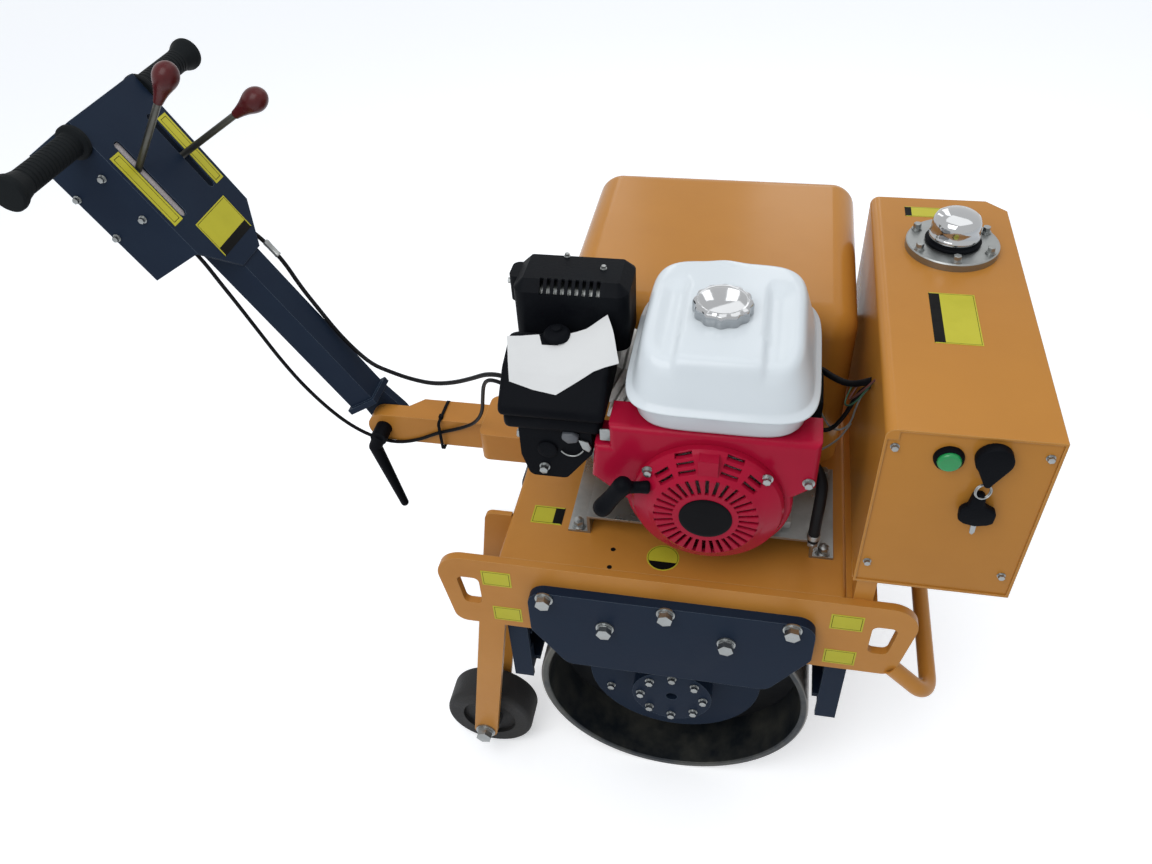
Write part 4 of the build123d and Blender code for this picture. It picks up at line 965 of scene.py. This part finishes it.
bpy.ops.object.modifier_apply(modifier=bpy.context.object.modifiers[-1].name)
finish("paper_label", "frame", paper, angle=60)


# Carburettor housing: black moulding under the air cleaner, with the zinc choke and throttle
# controls on its face.
paint_nodes(black_plastic, "carburettor_cover")
worn_grey = surface(
    "worn_grey_knob", (0.06, 0.065, 0.075), (0.16, 0.165, 0.17), 0.4, patch=40, grain=300, bump=0.05, edge=1,
    shine=0.3,
)
slab_from(
    [
        at(x, -284, z)
        for x, z in ((-146, 757), (-132, 758), (-125, 752), (-127, 744), (-139, 741), (-147, 748))
    ],
    near * 9 * mm,
)
soften(2.2, 3)
finish("choke_knob", "frame", worn_grey)
slab_from(
    [at(x, -284, z) for x, z in ((-127, 744), (-114, 741), (-110, 731), (-114, 724), (-122, 729))],
    near * 3 * mm,
)
soften(1.0, 2)
finish("throttle_lever", "frame", zinc)
hose([(-150, -286, 722), (-146, -287, 718), (-137, -287, 715), (-127, -287, 718), (-121, -286, 726)], 2.2)
finish("throttle_rod", "frame", zinc, angle=60)
slab_from([at(x, -297, z) for x, z in ((-97, 757), (-83, 757), (-83, 775), (-97, 775))], far * 3 * mm)
soften(1.0, 2)
finish("cleaner_bracket", "frame", zinc)
bolt_group("cleaner_bolts", "frame", [at(-174, -284, 690)], near, hex_bolt(10, 6, 14, 1.4))
bolt_group("cleaner_side_bolt", "frame", [at(-204, -262, 724)], (-1, 0, 0), hex_bolt(10, 6, 14, 1.4))
turned([(13, 0), (13, 3), (11.5, 4), (8, 4.2)], sides=40)
seat(at(-168, -284, 722), near, forward)
finish("carburettor_boss", "frame", black_plastic)


# Silencer and its guard: a bare steel can on the exhaust, behind folded black sheet with a row of
# slots. Small screws hold the guard to the can.
muffler_black = surface(
    "muffler_black", (0.004, 0.0045, 0.006), (0.012, 0.014, 0.016), 0.45, patch=16, grain=260, bump=0.12,
    shine=0.03,
)
paint_nodes(zinc, "muffler")
paint_nodes(muffler_black, "muffler_guard")
guard_top = 900
bolt_group(
    "guard_screws",
    "frame",
    [at(-166.6, -112, guard_top), at(-115.3, -135.4, guard_top), at(-205, -150, 894)],
    up,
    hex_bolt(5.6, 2.6, 8.4, 0.8),
)
bolt_group("guard_side_screw", "frame", [at(-237.5, -133, 872)], (-1, 0, 0), hex_bolt(6.5, 3, 10, 0.9))


# Hood over the belt drive: one deep box of steel sheet with rounded corners, in ochre enamel. It
# stands on the deck.
# The hood's edges are painted lighter: partly rubbed paint, partly a painted highlight.
hood_ochre = surface(
    "hood_enamel", (0.45, 0.19, 0.03), (0.36, 0.145, 0.022), 0.2, patch=3, grain=90, bump=0.02, edge=2,
    dents=0.06, shine=0.13, edge_wear_and_highlight=(0.62, 0.36, 0.13),
)
paint_nodes(hood_ochre, "hood")


# Oil tank: welded box in ochre enamel with slightly dented sheet, and a strip welded in along its
# chamfered corner. The switch panel closes its near end and has four small screws.
# The tank's edges are painted lighter: partly rubbed paint, partly a painted highlight.
tank_ochre = surface(
    "tank_enamel", (0.45, 0.19, 0.03), (0.36, 0.145, 0.022), 0.22, patch=3, grain=90, bump=0.02, edge=2,
    dents=0.12, shine=0.15, edge_wear_and_highlight=(0.62, 0.36, 0.13),
)
paint_nodes(tank_ochre, "oil_tank", "switch_panel")
panel_face = -326.5
tank_top = 844
bolt_group(
    "panel_screws",
    "frame",
    [at(x, panel_face, z) for x, z in ((240.5, 818), (401, 821), (240, 623), (397, 623))],
    near,
    hex_bolt(7, 3.4, 10, 0.9),
)
slab_from(
    [at(x, y, 588) for x, y in ((410.5, 163.5), (390.5, 183.5), (387, 180), (407, 160))], (0, 0, 253 * mm)
)
finish("tank_corner_sheet", "frame", tank_ochre)
foil_plate(
    "tank_plate", "frame", at(318, -112, tank_top), up, -forward, 56, 107, band=13, margin=1.5, line=0.6
)
foil_plate(
    "tank_plate_far", "frame", at(298, 146.5, tank_top), up, -forward, 50, 27, band=9, margin=1.2, line=0.5
)
weld = surface(
    "weld_bead", (0.33, 0.13, 0.022), (0.2, 0.075, 0.015), 0.5, patch=40, grain=400, bump=0.3, edge=0.3,
    shine=0.2,
)
hose([(230, -322, 586.5), (300, -322, 586), (350, -322, 586), (409, -322, 586.5)], 3.5)
finish("tank_seam", "frame", weld, angle=60)


# Filler: a turned zinc flange on the tank's top with six hexagon bolts, a black rubber ring and
# a chromed cap, domed, with a rolled edge.
paint_nodes(zinc, "filler_flange")
filler_x, filler_y, flange_top = 328, 53.5, 855
turns = [math.radians(angle) for angle in range(-90, 270, 60)]
spots = [(filler_x + 52 * math.cos(turn), filler_y + 52 * math.sin(turn)) for turn in turns]
bolt_group("flange_bolts", "frame", [at(x, y, flange_top) for x, y in spots], up, hex_bolt(9, 6, 14, 1.4))
turned([(33, 0), (36, 0.6), (36.6, 3), (35, 5), (32, 5.6), (31, 10)], sides=64)
seat(at(filler_x, filler_y, flange_top), up, forward)
finish("filler_ring", "frame", black_plastic)
turned(
    [
        (26, 0), (30.5, 0.3), (33, 2), (33.6, 4.5), (32.4, 7), (31.6, 8), (31.8, 17), (31, 24), (28.4, 29.5),
        (23.5, 33), (14, 35.3), (5, 36),
    ],
    sides=72,
)
seat(at(filler_x, filler_y, 862), up, forward)
cap = finish("filler_dome", "frame", chrome, angle=40)
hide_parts("filler_cap")


# Signal lamp: a green plastic lens in a black bezel, pushed through a hole in the switch panel and
# held by a nut behind it.
lamp_green = surface(
    "lamp_green", (0.008, 0.26, 0.07), (0.006, 0.16, 0.04), 0.15, patch=30, grain=200, bump=0.02, edge=0.5,
    shine=0.4,
)
paint_nodes(lamp_green, "signal_lamp")
turned([(13.1, 0), (16.5, 0), (16.5, 3), (15.4, 6.5), (13.2, 7.2)], sides=48)
seat(at(299, panel_face, 809), near, forward)
finish("lamp_bezel", "frame", black_plastic)


# Key switch: a drop-shaped rubber flap over the lock. A split ring through its tab carries the
# spare key, which hangs by its bell-shaped black head with the blade down.
turns = [math.radians(angle) for angle in range(-30, 226, 15)]
arc = [(344 + 20 * math.cos(turn), 817 + 20 * math.sin(turn)) for turn in turns]
slab_from(
    [at(x, panel_face, z) for x, z in arc + [(338.5, 785), (341.5, 779), (347, 779), (350, 786)]],
    near * 14 * mm,
)
soften(3.5, 4)
flap = finish("switch_flap", "frame", black_plastic, angle=50)
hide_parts("key_switch")
clear()
bpy.ops.mesh.primitive_torus_add(
    major_radius=9 * mm, minor_radius=0.9 * mm, major_segments=40, minor_segments=8
)
bpy.ops.object.mode_set(mode="EDIT")
bpy.ops.mesh.select_all(action="SELECT")
bpy.ops.mesh.duplicate_move(TRANSFORM_OT_translate={"value": (0.6 * mm, 0, 1.7 * mm)})
seat(at(341, -338, 773), (0.3, -1, 0.25), forward)
finish("key_ring_front", "frame", zinc, angle=60)
slab_from(
    [
        at(x, -340.5, z)
        for x, z in (
            (335, 768), (343, 768), (347, 764), (348, 752), (352, 748), (361, 743), (363.5, 738),
            (363, 724), (357, 720), (344, 717), (331, 720), (324.5, 725), (323.5, 739), (326, 744),
            (331, 748), (333, 764),
        )
    ],
    far * 10 * mm,
)
soften(2.6, 4)
finish("key_head", "frame", black_plastic, angle=50)
slab_from(
    [at(x, -336.5, z) for x, z in ((341, 719), (347, 719), (347.5, 704), (345, 700), (342, 703))],
    far * 2 * mm,
)
finish("key_blade", "frame", zinc)


# Wiring between the engine and the oil tank: a black sleeve and loose thin wires in easy loops,
# with the ignition box and the oil drain hose on the engine's right side.
wire_grey = surface(
    "wire_grey", (0.2, 0.21, 0.2), (0.12, 0.12, 0.12), 0.5, patch=30, grain=300, bump=0.02, edge=0.2
)
wire_brown = surface(
    "wire_brown", (0.09, 0.025, 0.02), (0.05, 0.015, 0.012), 0.5, patch=30, grain=300, bump=0.02, edge=0.2
)
wire_green = surface(
    "wire_green", (0.02, 0.09, 0.05), (0.01, 0.05, 0.03), 0.5, patch=30, grain=300, bump=0.02, edge=0.2
)
for name, points, diameter, material in (
    (
        "wire_sleeve",
        [
            (150, -96, 742), (164, -112, 752), (182, -130, 752), (200, -142, 752), (216, -150, 760),
            (229, -156, 772),
        ],
        9, cable_black,
    ),
    (
        "fuel_hose",
        [
            (150, -150, 712), (162, -158, 694), (178, -160, 682), (192, -156, 686), (204, -152, 706),
            (212, -152, 734), (220, -154, 756), (229, -160, 766),
        ],
        6, cable_black,
    ),
    (
        "wire_loop_grey",
        [
            (150, -120, 728), (166, -140, 716), (178, -152, 698), (190, -154, 682), (204, -152, 680),
            (214, -151, 694), (216, -152, 722), (221, -154, 748), (229, -158, 764),
        ],
        2.6, wire_grey,
    ),
    (
        "wire_loop_brown",
        [
            (214, -148, 756), (206, -158, 744), (204, -170, 748), (211, -180, 766), (221, -184, 784),
            (229, -183, 796),
        ],
        2.6, wire_brown,
    ),
    (
        "wire_loop_green",
        [
            (208, -146, 756), (200, -156, 738), (200, -172, 738), (210, -184, 756), (221, -180, 776),
            (229, -176, 788),
        ],
        2.2, wire_green,
    ),
    (
        "wire_low",
        [
            (214, -150, 692), (206, -156, 676), (194, -166, 668), (180, -180, 668), (168, -196, 674),
            (152, -206, 684),
        ],
        2.6, wire_grey,
    ),
):
    hose(points, diameter)
    finish(name, "frame", material, angle=60)
slab_from([at(150, y, z) for y, z in ((-214, 726), (-150, 726), (-150, 776), (-214, 776))], (19 * mm, 0, 0))
soften(3, 3)
finish("ignition_box", "frame", black_plastic)
hose(
    [
        (148, -205, 692), (164, -238, 698), (178, -262, 692), (179, -268, 664), (178, -268, 620),
        (178, -268, 584),
    ],
    15,
)
finish("drain_hose", "frame", cable_black, angle=60)
turned([(8.2, 0), (8.8, 0.4), (8.8, 7), (8.2, 7.4)], sides=32)
seat(at(178, -268, 590), up, forward)
finish("drain_clamp", "frame", zinc)
turned([(4, 0), (7.4, 0.3), (7.4, 5), (6.4, 5.6), (6.4, 12)], sides=6)
seat(at(178, -268, 576), up, forward)
finish("drain_plug", "frame", zinc)
